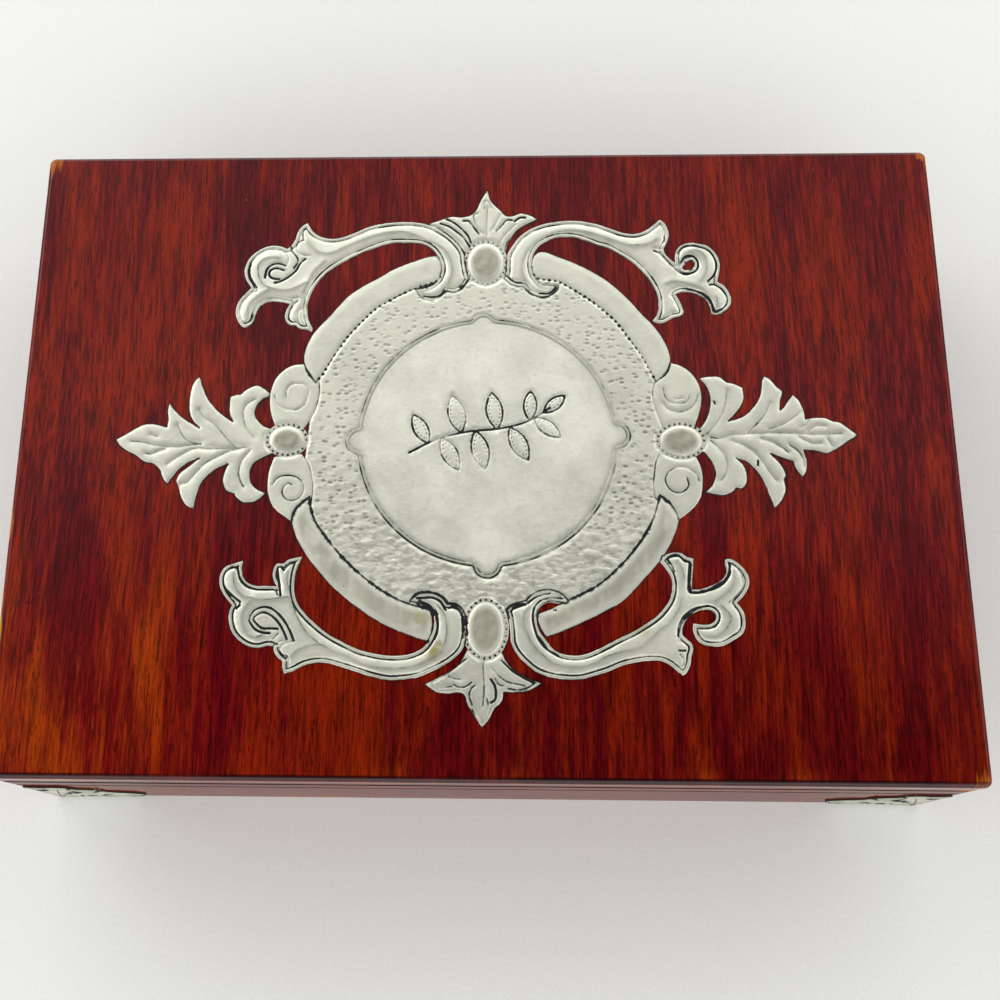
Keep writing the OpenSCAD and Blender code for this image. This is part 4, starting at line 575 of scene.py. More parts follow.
# %% Forms, from the lowest to the highest
COLLAR = 2.5            # width of the dotted collar round a boss
forms = [("plate", flow(plate))]
forms += [("volute", flow(k)) for k in volutes]
forms += [("band", flow(k)) for k in bands]
forms += [("leaf", flow(k)) for k in leaves]
forms += [("collar", ellipse(b[:2], b[2] + COLLAR, b[3] + COLLAR, 72)) for b in bosses]
forms += [("arm", flow(k)) for k in arms]
forms += [("boss", ellipse(b[:2], b[2] + 1.0, b[3] + 1.1, 64)) for b in bosses]
kinds = [kind for kind, _ in forms]
holes = [flow(k) for k in pierced]
print(len(forms), "forms and", len(holes), "holes")


def top_form(points):
    """Number of the highest form at each point, or -1 outside the sheet."""
    out = np.full(len(points), -1)
    for k, (_, loop) in enumerate(forms):
        out[inside(points, loop)] = k
    for loop in holes:
        out[inside(points, loop)] = -1
    return out


# %% [markdown]
# Each stroke is a line that a tool drew: its half-width, how deep it goes, and how much dark patina stayed
# in it. Punched dots are the same, with a point instead of a line.

# %% Strokes
def shifted(line, by, closed=True):
    """The line moved sideways; places where it would fold over are left out."""
    ahead, back = np.roll(line, -1, 0), np.roll(line, 1, 0)
    if not closed:
        ahead[-1], back[0] = line[-1], line[0]
    d = ahead - back
    normal = np.c_[-d[:, 1], d[:, 0]] / np.maximum(np.linalg.norm(d, axis=1), 1e-9)[:, None]
    moved = line + normal * by
    return moved[np.abs(gap_to(moved, line, closed) - abs(by)) < 0.05]


strokes = []            # line, closed or not, half-width, depth, patina
for lines, half, depth, ink in ((black, 0.27, 0.16, 1.0), (dark, 0.24, 0.12, 0.55), (soft, 0.26, 0.06, 0.48),
                                (creases, 0.22, 0.0, 0.40)):
    strokes += [(flow(line, False), False, half, depth, ink) for line in lines]
sprig_loops = []
for x, y, way, length in sprig:
    t = np.linspace(0, 1, 15)
    half = 0.21 * length * np.sin(math.pi * t) ** 0.8
    leaf = np.r_[np.c_[t * length, half], np.c_[t * length, -half][-2:0:-1]]
    turn = math.radians(way)
    spin = np.array([[math.cos(turn), math.sin(turn)], [-math.sin(turn), math.cos(turn)]])
    sprig_loops.append(leaf @ spin + [x, y])
strokes.append((flow(stem, False), False, 0.28, 0.14, 0.9))
strokes += [(loop, True, 0.26, 0.14, 0.85) for loop in sprig_loops]

# The medallion's rim goes as far from the middle as the circle or the lobe beyond it.
disc_x, disc_y, disc_r = medallion
turn = np.radians(np.arange(0, 360, 0.8))
reach = np.full(len(turn), disc_r)
for lx, ly, lr in lobes:
    dx, dy = lx - disc_x, ly - disc_y
    along = dx * np.cos(turn) + dy * np.sin(turn)
    off2 = dx * dx + dy * dy - along**2
    hit = (off2 < lr * lr) & (along > 0)
    reach[hit] = np.maximum(reach[hit], along[hit] + np.sqrt(lr * lr - off2[hit]))
rim = np.c_[disc_x + reach * np.cos(turn), disc_y + reach * np.sin(turn)]
strokes.append((rim, True, 0.24, 0.10, 0.62))
strokes.append((shifted(rim, 1.15), True, 0.22, 0.08, 0.46))
print(len(strokes), "strokes")

# %% Punched dots
rng = np.random.default_rng(7)
dots = []               # x, y, radius, patina
for band, step, size, ink in ((band_ul, 1.9, 0.42, 1.1), (band_ur, 1.9, 0.42, 1.1), (band_ll, 3.1, 0.3, 0.8),
                              (band_lr, 3.1, 0.3, 0.8)):
    tip = max(i for i, k in enumerate(band) if len(k) > 2)      # the inner edge starts at the last corner
    edge = spaced(flow(band[tip:], False, 0.3), step)
    dots += [(x, y, size * rng.uniform(0.8, 1.15), ink) for x, y in edge[1:]]
for bx, by, ba, bb in bosses:
    ring = ellipse((bx, by), ba + 1.75, bb + 1.8, 400)
    size = 0.28 if by > 30 else 0.34
    dots += [(x, y, size, 1.0) for x, y in spaced(np.r_[ring, ring[:1]], 1.74)[:-1]]
for loop in sprig_loops:
    out = spaced(shifted(np.r_[loop, loop[:1]], -0.95), 1.4)
    dots += [(x, y, 0.22, 0.7) for x, y in out]
for (x0, x1), (y0, y1), count in (((-21, -17.5), (54.3, 55.4), 8), ((17.4, 23.6), (-54.2, -52), 16),
                                  ((-4.8, -4.0), (-64, -55), 9)):       # loose dots under three of the hooks
    dots += [(rng.uniform(x0, x1), rng.uniform(y0, y1), 0.26, 1.0) for _ in range(count)]
dots = np.array(dots)
print(len(dots), "punched dots")

# %% [markdown]
# The net of points: rows beside every outline and stroke, rings round every dot, and an even net between.
# An even net alone would need many more points to keep the grooves sharp. This one has them where the tools
# have been, and Delaunay's rule joins them to triangles that are as little slanted as they can be.

# %% Cells, for finding neighbours quickly
def in_cells(points, size):
    """The points sorted into square cells of this size."""
    cells = {}
    for q in points:
        cells.setdefault((int(q[0] // size), int(q[1] // size)), []).append(q)
    return cells


def around(p, cells, size):
    """The points in the cell of p and in the eight cells round it."""
    i, j = int(p[0] // size), int(p[1] // size)
    return [q for a in (i - 1, i, i + 1) for b in (j - 1, j, j + 1) for q in cells.get((a, b), ())]


def thinned(points, keep_off, distance):
    """Points that keep a distance from those already placed."""
    cells = in_cells(keep_off, distance)
    out = []
    for p in points:
        near = around(p, cells, distance)
        if all((p[0] - q[0]) ** 2 + (p[1] - q[1]) ** 2 > distance * distance for q in near):
            out.append(p)
            cells.setdefault((int(p[0] // distance), int(p[1] // distance)), []).append(p)
    return np.array(out)


def staggered(x_span, y_span, step_x, step_y):
    """Even rows of points, every other row shifted by half a step."""
    gx, gy = np.meshgrid(np.arange(*x_span, step_x), np.arange(*y_span, step_y))
    gx[::2] += step_x / 2
    return np.c_[gx.ravel(), gy.ravel()]


trial = staggered((0, 10), (0, 10), 1.0, 1.0)
print(len(trial), "points in even rows;", len(thinned(trial, [], 2.1)), "of them can be kept 2.1 mm apart")

# %% Points of the net
NET = 0.66       # distance of the even net's points
ROW_GAP, NET_GAP = 0.17, 0.40           # how near a row's point and a net's point may come to the others
fixed, edges = [], []
for loop in [loop for _, loop in forms] + holes:
    start = len(fixed)
    fixed += [tuple(p) for p in loop]
    edges += [(start + i, start + (i + 1) % len(loop)) for i in range(len(loop))]
rows = []
for kind, loop in forms[1:]:            # the plate's own outline lies hidden under the bands
    rows += [shifted(loop, 0.3), shifted(loop, -0.3)]
    if kind == "arm":
        for by in (0.8, 1.05, 1.25, 1.45, 1.8):
            for side in (-1, 1):
                row = shifted(loop, side * by)
                rows.append(row[inside(row, loop)])
for line, closed, half, _, _ in strokes:
    rows.append(line)
    rows += [shifted(line, by, closed) for by in (half, -half, 2.2 * half, -2.2 * half)]
turn = np.radians(np.arange(0, 360, 60))
spokes = np.c_[np.cos(turn), np.sin(turn)]
rows += [dots[:, :2]] + [dots[:, :2] + far * dots[:, 2:3] * spoke for far in (1, 1.8) for spoke in spokes]
rows = thinned(np.vstack(rows), fixed, ROW_GAP)
rows = rows[top_form(rows) >= 0]

grid = staggered((-122, 124), (-92, 94), NET, NET * 0.866)
grid += rng.uniform(-0.12, 0.12, grid.shape) * NET
form_at = top_form(grid)
grid, form_at = grid[form_at >= 0], form_at[form_at >= 0]
calm = (form_at == 0) & (np.hypot(grid[:, 0] - disc_x, grid[:, 1] - disc_y) < 40)
keep = ~calm | (rng.random(len(grid)) < 0.35)       # the smooth medallion needs fewer points
grid = thinned(grid[keep], np.vstack([rows, fixed]), NET_GAP)
print(len(fixed), "outline,", len(rows), "row and", len(grid), "net points")

# %% Triangles of the sheet
points = [Vector(p) for p in np.vstack([fixed, rows, grid])]
flat, _, faces, *_ = geometry.delaunay_2d_cdt(points, edges, [], 0, 1e-5, False)
flat = np.array([[p.x, p.y] for p in flat])
faces = np.array(faces)
face_form = top_form(flat[faces].mean(1))
faces, face_form = faces[face_form >= 0], face_form[face_form >= 0]
used = np.unique(faces)
renumber = np.full(len(flat), -1)
renumber[used] = np.arange(len(used))
flat, faces = flat[used], renumber[faces]
print(len(flat), "points and", len(faces), "triangles")

# %% [markdown]
# ## Heights and patina
# Every point now gets its height. Near an outline the metal dips to a crease; inside, an arm has a narrow
# flat rim, a chased groove and a rounded body, a leaf swells softly between its veins, and a boss is a small
# dome. The patina is a number from 0 to 1 that the finish reads later: 1 in a black groove, 0 on polished
# metal; along the sheet's outer edge the same number also carries painted shadow. All this could be sculpted
# by hand; as formulas it comes out the same each time and can be tuned.

# %% Which form each point belongs to, and how far it lies inside
form = top_form(flat)
lowest = np.full(len(flat), 99)
for k in range(3):      # a point on an outline belongs to the lowest form that meets there
    np.minimum.at(lowest, faces[:, k], face_form)
form = np.where(form < 0, lowest, form)
own = np.full(len(flat), 9.0)
for k, (_, loop) in enumerate(forms):
    here = np.flatnonzero(form == k)
    if len(here):
        own[here] = gap_to(flat[here], loop)
for loop in holes:
    own = np.minimum(own, np.where(form >= 0, gap_to(flat, loop), 9))
kind_of = np.array(kinds)[form]
arm, band, volute, leaf, collar, boss, ground = (
    kind_of == kind for kind in ("arm", "band", "volute", "leaf", "collar", "boss", "plate"))
print("points on each kind of form:", {kind: int((kind_of == kind).sum()) for kind in dict.fromkeys(kinds)})

# %% Bodies of the forms
def swell(d, width):
    """A quarter round: 0 at d = 0 and 1 from d = width."""
    return np.sqrt(1 - (1 - np.clip(d / width, 0, 1)) ** 2)


SHEET = 0.32            # height of the plain sheet's face over the wood
x, y = flat[:, 0], flat[:, 1]
slow = ripple(x, y, 3, 26)
height = np.full(len(flat), SHEET)
height[arm] = (SHEET + 0.10 * swell(own, 0.5) + 0.20 * swell(own - 1.5, 2.8) + 0.02 * slow)[arm]
height[band] = (SHEET + 0.08 * swell(own, 0.6) + 0.10 * swell(own - 0.6, 2.2) + 0.04 * slow)[band]
height[volute] = (SHEET + 0.08 * swell(own, 0.6) + 0.14 * swell(own, 3.0) + 0.03 * slow)[volute]
height[collar] = SHEET + 0.04
height[leaf] = (SHEET + 0.06 + 0.24 * swell(own, 1.8) + 0.04 * slow)[leaf]


def beside(line, reach, where, closed=False):
    """Points within reach of a line, and how far they lie from it."""
    near = np.flatnonzero(where & ((flat > line.min(0) - reach) & (flat < line.max(0) + reach)).all(1))
    return near, gap_to(flat[near], line, closed)


for line in creases:    # pushed up from behind: the metal stands up along them
    near, d = beside(flow(line, False), 3, arm | leaf)
    height[near] += 0.17 * np.exp(-np.abs(d / 1.1) ** 1.4)
for line in soft:       # between these valleys a leaf's lobes stand up in soft pleats
    near, d = beside(flow(line, False), 3, leaf | volute)
    height[near] -= 0.20 * np.exp(-np.abs(d / 1.0) ** 1.5)
for k, (bx, by, ba, bb) in enumerate(bosses, len(forms) - len(bosses)):
    here = form == k
    power = 2.6 if bb > ba else 2.0     # the long bosses are fuller than an ellipse
    rho = np.abs((x[here] - bx) / (ba + 0.9)) ** power + np.abs((y[here] - by) / (bb + 1)) ** power
    height[here] = SHEET + 0.10 + 0.30 * np.sqrt(1 - np.minimum(rho ** (1 / power), 1) ** 3)
print(f"forms from {height.min():.2f} to {height.max():.2f} mm")

# %% [markdown]
# The ring round the medallion is hammered in blows that touch each other and leave low waves. They are the
# coarse part of the hammering; the finish adds the small pits and ripples, and paints shade into the pits
# and into the low spots of the ripples on the front of the ring. Each point follows the nearest of many
# scattered blows, which leaves the ridges between them by itself.

# %% Hammer blows and medallion
BLOW = (3.6, 2.2)       # how far the blows lie apart, sideways and lengthwise
RING, DISC = 0.60, 0.50         # heights of the hammered ring and of the medallion
BEAD = 0.57             # a raised bead runs this far inside the medallion's rim


def blows(points):
    """Depth of the blows, 1 in a blow's middle and 0 on the ridges between."""
    centres = staggered((-62, 66), (-60, 62), *BLOW)
    centres += rng.uniform(-0.42, 0.42, centres.shape) * BLOW
    scale = 1 / np.array(BLOW)
    out = np.zeros(len(points))
    for s in range(0, len(points), AT_ONCE):
        p = points[s:s + AT_ONCE, None] * scale - centres[None] * scale
        out[s:s + AT_ONCE] = 1 - np.minimum((p**2).sum(2).min(1) / 0.42, 1)
    return out


within = inside(flat, rim)
annulus, disc = ground & ~within, ground & within
height[annulus] = RING + 0.02 * slow[annulus] - 0.14 * blows(flat[annulus]) * ease(-y, -30, 40)[annulus]
height[disc] = DISC + 0.02 * slow[disc]
bead = np.abs(np.where(within, 1, -1) * gap_to(flat, rim) - BEAD)
height[ground] += 0.16 * np.exp(-(bead[ground] / 0.42) ** 2)
for loop in sprig_loops:
    here = inside(flat, loop) & ground
    height[here] += 0.16 * swell(gap_to(flat[here], loop), 1.6)
print(annulus.sum(), "points hammered,", disc.sum(), "in the medallion")

# %% Chased grooves of arms and bands
GROOVE_IN = 1.25        # the chased groove follows every arm's edge at this distance
patina_and_edge_shade = np.zeros(len(flat))
groove = np.abs(own - GROOVE_IN)
cutting = np.clip(1.6 - groove / 0.22, 0, 1)
strength = np.clip(ease(-y, -10, 30) * 0.35 + 0.68 + 0.5 * ripple(x, y, 11, 16), 0.3, 1.15)
for hx, hy, reach in ((-18, -51.5, 5), (21, -51.3, 6), (-17.5, 52.5, 4.5), (21, 53.4, 5)):
    cutting *= 1 - np.exp(-(np.hypot(x - hx, y - hy) / reach) ** 4)     # the hooks are too narrow for it
height[arm] -= 0.15 * cutting[arm]
patina_and_edge_shade[arm] = np.maximum(patina_and_edge_shade, cutting * strength)[arm]
shallow = np.clip(1 - np.abs(own - 0.95) / 0.3, 0, 1)
height[band] -= 0.04 * shallow[band]
patina_and_edge_shade[band] = np.maximum(patina_and_edge_shade, 0.26 * shallow * strength)[band]
print((patina_and_edge_shade > 0.5).sum(), "dark points in the grooves")

# %% [markdown]
# Beside every cut a thin grey wash of patina stays on the metal. The same grey is painted as shade into
# the seams, beside the arms' grooves, along the sheet's outer edge and over the collars. It is kept as a
# second number.

# %% Strokes
wash_and_shade = np.zeros(len(flat))
for line, closed, half, depth, ink in strokes:
    near, away = beside(line, 2, ~boss, closed)
    wash_and_shade[near] = np.maximum(wash_and_shade[near], (0.34 + 0.22 * (ink < 0.5)) * np.exp(-(away / 1.0) ** 2))
    profile = np.clip(1.5 - 0.7 * away / half, 0, 1)
    height[near] -= depth * profile
    patina_and_edge_shade[near] = np.maximum(patina_and_edge_shade[near], ink * profile * np.clip(strength[near], 0.75, 1.1))
print((patina_and_edge_shade > 0.5).sum(), "dark points with the strokes")


# %% [markdown]
# Two triangles of different forms meet at a seam. The sheet dips there, and the seam is black between the
# lower forms, lighter beside the upper bands, the volutes and the leaves, and faint round a boss. The black
# line along the sheet's outer edge is painted shadow of the sheet's thickness, darkest beside the lower bands
# and the leaves.

# %% Seams between the forms
def sides_of(tris):
    """The three sides of each triangle, as pairs of point numbers."""
    return np.vstack([tris[:, [0, 1]], tris[:, [1, 2]], tris[:, [2, 0]]])


sides, owner = np.sort(sides_of(faces), axis=1), np.tile(face_form, 3)
order = np.lexsort((sides[:, 1], sides[:, 0]))
sides, owner = sides[order], owner[order]
first = np.flatnonzero((sides[1:] == sides[:-1]).all(1))
single = np.ones(len(sides), bool)
single[first] = single[first + 1] = False
outer = sides[single]
pairs = np.c_[owner[first], owner[first + 1]]
meet = pairs[:, 0] != pairs[:, 1]
seams, pairs = sides[first[meet]], pairs[meet]
names = np.array(kinds)[pairs]
with_kind = {kind: (names == kind).any(1) for kind in kinds}
upper = [k for k, (kind, loop) in enumerate(forms) if kind == "band" and loop[:, 1].mean() > 0]
light = (np.isin(pairs, upper).any(1) | with_kind["volute"]) & with_kind["plate"] | with_kind["leaf"]
faint = with_kind["boss"] | with_kind["collar"] & ~with_kind["arm"]
print(len(seams), "sides along seams,", len(outer), "round the sheet and its holes")


# %% Dips and dark lines along the seams, and painted shadow along the sheet's edge
def near_to(vertices, reach=1.0):
    """How far each point lies from the nearest of these vertices, at most `reach`."""
    cells = in_cells(flat[np.unique(vertices)], reach)
    return np.array([min([reach] + [math.hypot(p[0] - q[0], p[1] - q[1]) for q in around(p, cells, reach)])
                     for p in flat])


SEAM = 0.24             # height of the crease between two forms
deep_seam, light_seam = near_to(seams[~light & ~faint]), near_to(seams[light & ~faint])
boss_seam, rim_side = near_to(seams[faint]), near_to(outer)
dip = np.exp(-(np.minimum(np.minimum(deep_seam, light_seam), boss_seam) / 0.34) ** 2)
height = height * (1 - dip) + np.minimum(height, SEAM + 0.1) * dip
lower = band & (y < 0)
# rim_side: the dark line along the sheet's outer edge is painted shadow of the sheet's thickness, not patina
for seam, ink, wide in ((deep_seam, 1.05 * strength, 0.50), (light_seam, 0.75 * strength, 0.40),
                        (boss_seam, 0.30, 0.40), (rim_side, np.where(lower | leaf, 0.95, 0.6), 0.35)):
    patina_and_edge_shade = np.maximum(patina_and_edge_shade, ink * np.clip(1.2 - seam / wide, 0, 1))
near_seam = np.minimum(np.minimum(deep_seam, light_seam), rim_side)
# painted shade: grey near the seams and the outer edge, beside the arms' grooves and over the collars
for more in (np.where(near_seam < 1, 0.42 * np.exp(-(near_seam / 0.6) ** 2), 0),
             0.5 * np.exp(-(groove / 0.6) ** 2) * arm, 0.35 * collar):
    wash_and_shade = np.maximum(wash_and_shade, more)
wash_and_shade = np.clip(wash_and_shade + 0.16 * ripple(x, y, 41, 10) * (arm | band | leaf | volute), 0, 1)
print(f"wash {wash_and_shade.mean():.2f} and patina {patina_and_edge_shade.mean():.2f} on average")

# %% Dots struck last, and the sheet's edge
for dx, dy, dr, ink in dots:
    near = np.flatnonzero((np.abs(x - dx) < 1) & (np.abs(y - dy) < 1))
    hit = np.clip(1.5 - 0.9 * np.hypot(x[near] - dx, y[near] - dy) / dr, 0, 1)
    height[near] -= 0.10 * hit
    patina_and_edge_shade[near] = np.maximum(patina_and_edge_shade[near], ink * hit)
edge_points = np.unique(outer)
height[edge_points] = np.minimum(height[edge_points], SHEET)
height = np.maximum(height, 0.12)
print(f"relief from {height.min():.2f} to {height.max():.2f} mm")

# %% Browner bosses, painted shade in the lower bands, an olive bead and glue stains
warm = np.zeros(len(flat))
for bx, by, ba, bb in bosses:
    rho = np.hypot((x - bx) / ba, (y - by) / bb)
    warm = np.maximum(warm, 0.66 * boss * ease(-rho, -1.0, -0.78) * (1 + 0.3 * ripple(x, y, 5, 4)))
    warm = np.maximum(warm, 0.20 * boss * ease(-rho, -1.15, -1.0))
# painted shade: the middle of the lower bands, inside their rims, is made olive brown
body = lower * np.clip(own - 1.2, 0, 1.5) / 1.5     # the lower bands inside their rims
warm = np.maximum(warm, 0.50 * body * np.clip(0.8 + ripple(x, y, 17, 9), 0, 1))
warm = np.maximum(warm, 0.45 * ground * np.clip(1.6 - bead / 0.4, 0, 1))
hammer = annulus * ease(gap_to(flat, rim), 0.4, 1.6)
spots = [(-14.5, -67.5, 2.6, 0.9), (-18.5, -57, 3.4, 0.45), (49, -59.5, 3.6, 0.45), (-57.6, 48, 2.4, 0.6),
         (-13, -64.5, 1.8, 0.7), (-60, -33, 2.0, 0.5)]      # where, radius and strength of the stains
stain = np.zeros(len(flat))
for sx, sy, sr, share in spots:
    wide = sr * (1 + 0.5 * ripple(x, y, 21, 5))
    stain = np.maximum(stain, share * ease(-np.hypot(x - sx, y - sy) / wide, -1, -0.4))
print(len(spots), "glue stains")

# %% [markdown]
# The mesh is closed: a skirt stands on the wood all round, and a flat back lies on the lid. A solidify
# modifier would copy the relief to the back; the skirt keeps the back flat, as on a sheet backed with glue.
# Each number that the finish reads is stored with the points.

# %% A helper that makes a piece of sheet
def new_piece(name, verts, faces):
    """A smooth-shaded object, ready to be finished."""
    mesh = bpy.data.meshes.new(name)
    mesh.from_pydata(verts, [], faces)
    mesh.polygons.foreach_set("use_smooth", np.ones(len(mesh.polygons), bool))
    piece = bpy.data.objects.new(name, mesh)
    bpy.context.scene.collection.objects.link(piece)
    return piece


def pewter_sheet(name, top, tris, under, back, tints):
    """A closed sheet: the relief on top, a skirt round its edge and a flat back, all in metres.

    under moves an edge point down to the back; back lists the back's faces, numbered along the edge points;
    tints holds numbers for the top's points and one number for the foot's.
    """
    there = set(map(tuple, sides_of(tris).tolist()))
    border = sorted(side for side in there if side[::-1] not in there)
    edge = sorted({v for side in border for v in side})
    foot_of = {v: len(top) + n for n, v in enumerate(edge)}
    cells = tris.tolist() + [(b, a, foot_of[a], foot_of[b]) for a, b in border]
    cells += [[len(top) + v for v in face] for face in back]
    piece = new_piece(name, top.tolist() + [under(top[v]) for v in edge], cells)
    for tint, (numbers, foot) in tints.items():
        value = piece.data.attributes.new(tint, "FLOAT", "POINT")
        value.data.foreach_set("value", np.r_[numbers, np.full(len(edge), foot)].astype(np.float32))
    print(name, len(piece.data.vertices), "vertices,", len(piece.data.polygons), "faces")
    return piece


# %% Mesh of the cartouche
GLUE = 0.02             # a sheet's back lies this far above the varnish
CARTOUCHE_AT = (0.0, 0.75)
sheet_low, sheet_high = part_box("lid_cartouche")
drawn_w = max(k[0] for k in leaf_r) - min(k[0] for k in leaf_l)
scale = (sheet_high.x - sheet_low.x) / MM / drawn_w
top = np.c_[flat * scale + CARTOUCHE_AT, lid_top + height * scale] * MM
rim_flat = flat[edge_points]
_, _, back, *_ = geometry.delaunay_2d_cdt([Vector(p) for p in rim_flat], [], [], 0, 1e-6, False)
back = np.array(back)
back = back[top_form(rim_flat[back].mean(1)) >= 0][:, ::-1].tolist()
# the skirt round the sheet's edge takes a little of the black: painted shade on the cut edge
tints = {"patina_and_edge_shade": (patina_and_edge_shade, 0.3), "wash_and_shade": (wash_and_shade, 0), "warm": (warm, 0), "stain": (stain, 0),
         "hammer": (hammer, 0)}
cartouche = pewter_sheet("pewter_cartouche", top, faces, lambda p: [*p[:2], (lid_top + GLUE) * MM],
                         back, tints)
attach(cartouche, "lid")
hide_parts("lid_cartouche")
print("relief", round(float(height.max() * scale), 2), "mm over the wood")

# %% [markdown]
# ## Corner mounts
# The two mounts on the front corners are cut from the same pewter: an acanthus leaf that fills the corner,
# with three chased veins and a dark groove inside its rim. They are made the same way, standing on the front
# wall. The leaf is worked out once and mirrored for the other corner, as both were cut to one pattern.

# %% Outline and veins of a corner's leaf
corner_leaf = [
    (0, 0, 1), (0, 40, 1), (6, 38.8), (10.5, 40, 1), (14.5, 37.5), (16.6, 31.5, 1), (20.5, 30),
    (23.5, 26.5), (24.6, 21, 1), (29, 19), (33, 16), (36, 12, 1), (34.5, 6), (31, 0, 1)
]
corner_veins = [
    [(4, 4), (5.5, 14), (8, 25), (11, 36)],
    [(4.6, 8), (8.5, 16), (14, 22.5), (20.5, 26)],
    [(4, 4), (12, 7.5), (22, 10.5), (32, 11.5)]
]
corner_edge = flow(corner_leaf, piece=0.5)
veins = [flow(v, False, 0.5) for v in corner_veins]
print(len(corner_edge), "points round the leaf,", len(veins), "veins")

# %% Points and triangles of the leaf
rows = [shifted(corner_edge, by * side) for side in (1, -1) for by in (0.3, 0.8, 1.05, 1.25, 1.45, 1.8)]
rows += [shifted(v, by, False) for v in veins for by in (0.01, 0.3, -0.3, 0.7, -0.7)]
gx, gy = np.meshgrid(np.arange(0.4, 40, 0.5), np.arange(0.4, 40, 0.5))
net = np.vstack(rows + [np.c_[gx.ravel(), gy.ravel()]])
net = net[inside(net, corner_edge)]
net = net[gap_to(net, corner_edge) > 0.15]
around_edge = [(i, (i + 1) % len(corner_edge)) for i in range(len(corner_edge))]
points = [Vector(p) for p in np.vstack([corner_edge, thinned(net, corner_edge, 0.22)])]
leaf_flat, _, leaf_tris, *_ = geometry.delaunay_2d_cdt(points, around_edge, [], 0, 1e-6, False)
leaf_flat, leaf_tris = np.array([tuple(p) for p in leaf_flat]), np.array(leaf_tris)
leaf_tris = leaf_tris[inside(leaf_flat[leaf_tris].mean(1), corner_edge)]
print(len(leaf_flat), "points and", len(leaf_tris), "triangles")

# %% Heights and patina of the leaf
lx, ly = leaf_flat.T
d = gap_to(leaf_flat, corner_edge)
rim_groove = np.clip(1 - np.abs(d - GROOVE_IN) / 0.3, 0, 1)
leaf_h = 0.45 + 0.35 * swell(d - 1.5, 3.5) + 0.06 * ripple(lx, ly, 5, 9) - 0.16 * rim_groove
# the dark line round the rim is partly patina, partly painted shadow of the sheet's edge
leaf_ink_and_edge_shade = np.maximum(rim_groove, 0.9 * np.clip(1.5 - d / 0.5, 0, 1))
for v in veins:
    g = gap_to(leaf_flat, v, False)
    leaf_h += 0.28 * np.exp(-(g / 1.5) ** 2) - 0.22 * np.exp(-(g / 0.4) ** 2)
    leaf_ink_and_edge_shade = np.maximum(leaf_ink_and_edge_shade, 0.8 * np.clip(1 - g / 0.4, 0, 1))
leaf_ink_and_edge_shade = np.maximum(leaf_ink_and_edge_shade, 0.7 * ease(ripple(lx, ly, 8, 12), 0.25, 0.5))
leaf_h[d < 0.01] = 0.35
leaf_h = np.clip(leaf_h, 0.15, 1.05)
leaf_wash = np.clip(0.62 + 0.4 * ripple(lx, ly, 9, 10), 0, 1)
leaf_stain = 0.5 * ease(ripple(lx, ly, 12, 14), 0.1, 0.4)
print(f"leaf from {leaf_h.min():.2f} to {leaf_h.max():.2f} mm")

# %% The two mounts, each the other one mirrored
FULL = 1.1              # the drawn mount's thickness stands for this height of the relief, in mm
# the mounts' skirts are made nearly black: painted shade on their cut edges
tints = {"patina_and_edge_shade": (leaf_ink_and_edge_shade, 0.9), "wash_and_shade": (leaf_wash, 0.6), "stain": (leaf_stain, 0)}
mounts = []
for name, side in (("front_left_corner_mount", 1), ("front_right_corner_mount", -1)):
    low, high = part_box(name)
    wide, thick, tall = high - low
    start = low.x if side > 0 else high.x
    top = np.c_[start + side * lx * wide / lx.max(), high.y - leaf_h * thick / FULL,
                low.z + ly * tall / ly.max()]
    back = [list(range(len(corner_edge)))[::-side]]
    piece = pewter_sheet("pewter_" + name, top, leaf_tris[:, ::side],
                         lambda p: [p[0], high.y - GLUE * MM, p[2]], back, tints)
    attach(piece, "box")
    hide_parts(name)
    mounts.append(piece)
    print(piece.name, "has", len(piece.data.polygons), "faces")

# %% [markdown]
# ## The lid panel's eased edges
# The panel is a board with its four corners rounded and its top edge sanded to a quarter round. The dressed
# panel carries both all the way round, as rings of points from the bottom up. A bevel modifier could round a
# plain board too, but it works badly on the long thin triangles of a drawn one.

# %% Lid panel
CORNER, EASE, STEPS = 2.4, 1.5, 8       # radius of the corners, radius of the top edge, steps of each round


def ring_at(inset, z):
    """One ring of the panel's outline, moved in by inset (mm)."""
    x, y, r = panel_w / 2 - CORNER, panel_d / 2 - CORNER, CORNER - inset
    out = []
    for k, (sx, sy) in enumerate(((1, 1), (-1, 1), (-1, -1), (1, -1))):
        for t in np.linspace(k, k + 1, STEPS + 1) * math.pi / 2:
            out.append(((sx * x + r * math.cos(t)) * MM, (sy * y + r * math.sin(t)) * MM, z * MM))
    return out


low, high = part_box("lid_panel")
rings = [ring_at(0, low.z / MM)]
for t in np.linspace(0, math.pi / 2, STEPS + 1):
    rings.append(ring_at(EASE * (1 - math.cos(t)), lid_top - EASE + EASE * math.sin(t)))
n = len(rings[0])
cells = [[k * n + i, k * n + (i + 1) % n, (k + 1) * n + (i + 1) % n, (k + 1) * n + i]
         for k in range(len(rings) - 1) for i in range(n)]
cells += [list(range(n))[::-1], list(range((len(rings) - 1) * n, len(rings) * n))]
panel = new_piece("eased_panel", [p for ring in rings for p in ring], cells)
for flat_face in panel.data.polygons[-2:]:
    flat_face.use_smooth = False
for edge in panel.data.edges:
    edge.use_edge_sharp = max(edge.vertices) < n
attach(panel, "lid")
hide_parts("lid_panel")
print(panel.name, len(cells), "faces, corners of", CORNER, "mm")

# %% [markdown]
# ## Finishes
# Each finish is a small network of nodes. `Finish` keeps the wiring short: every call adds one node or a
# short chain and gives back its output, so a finish reads from top to bottom like a recipe. The same nodes
# could be placed by hand in the shader editor; written down, they can be compared and used again.

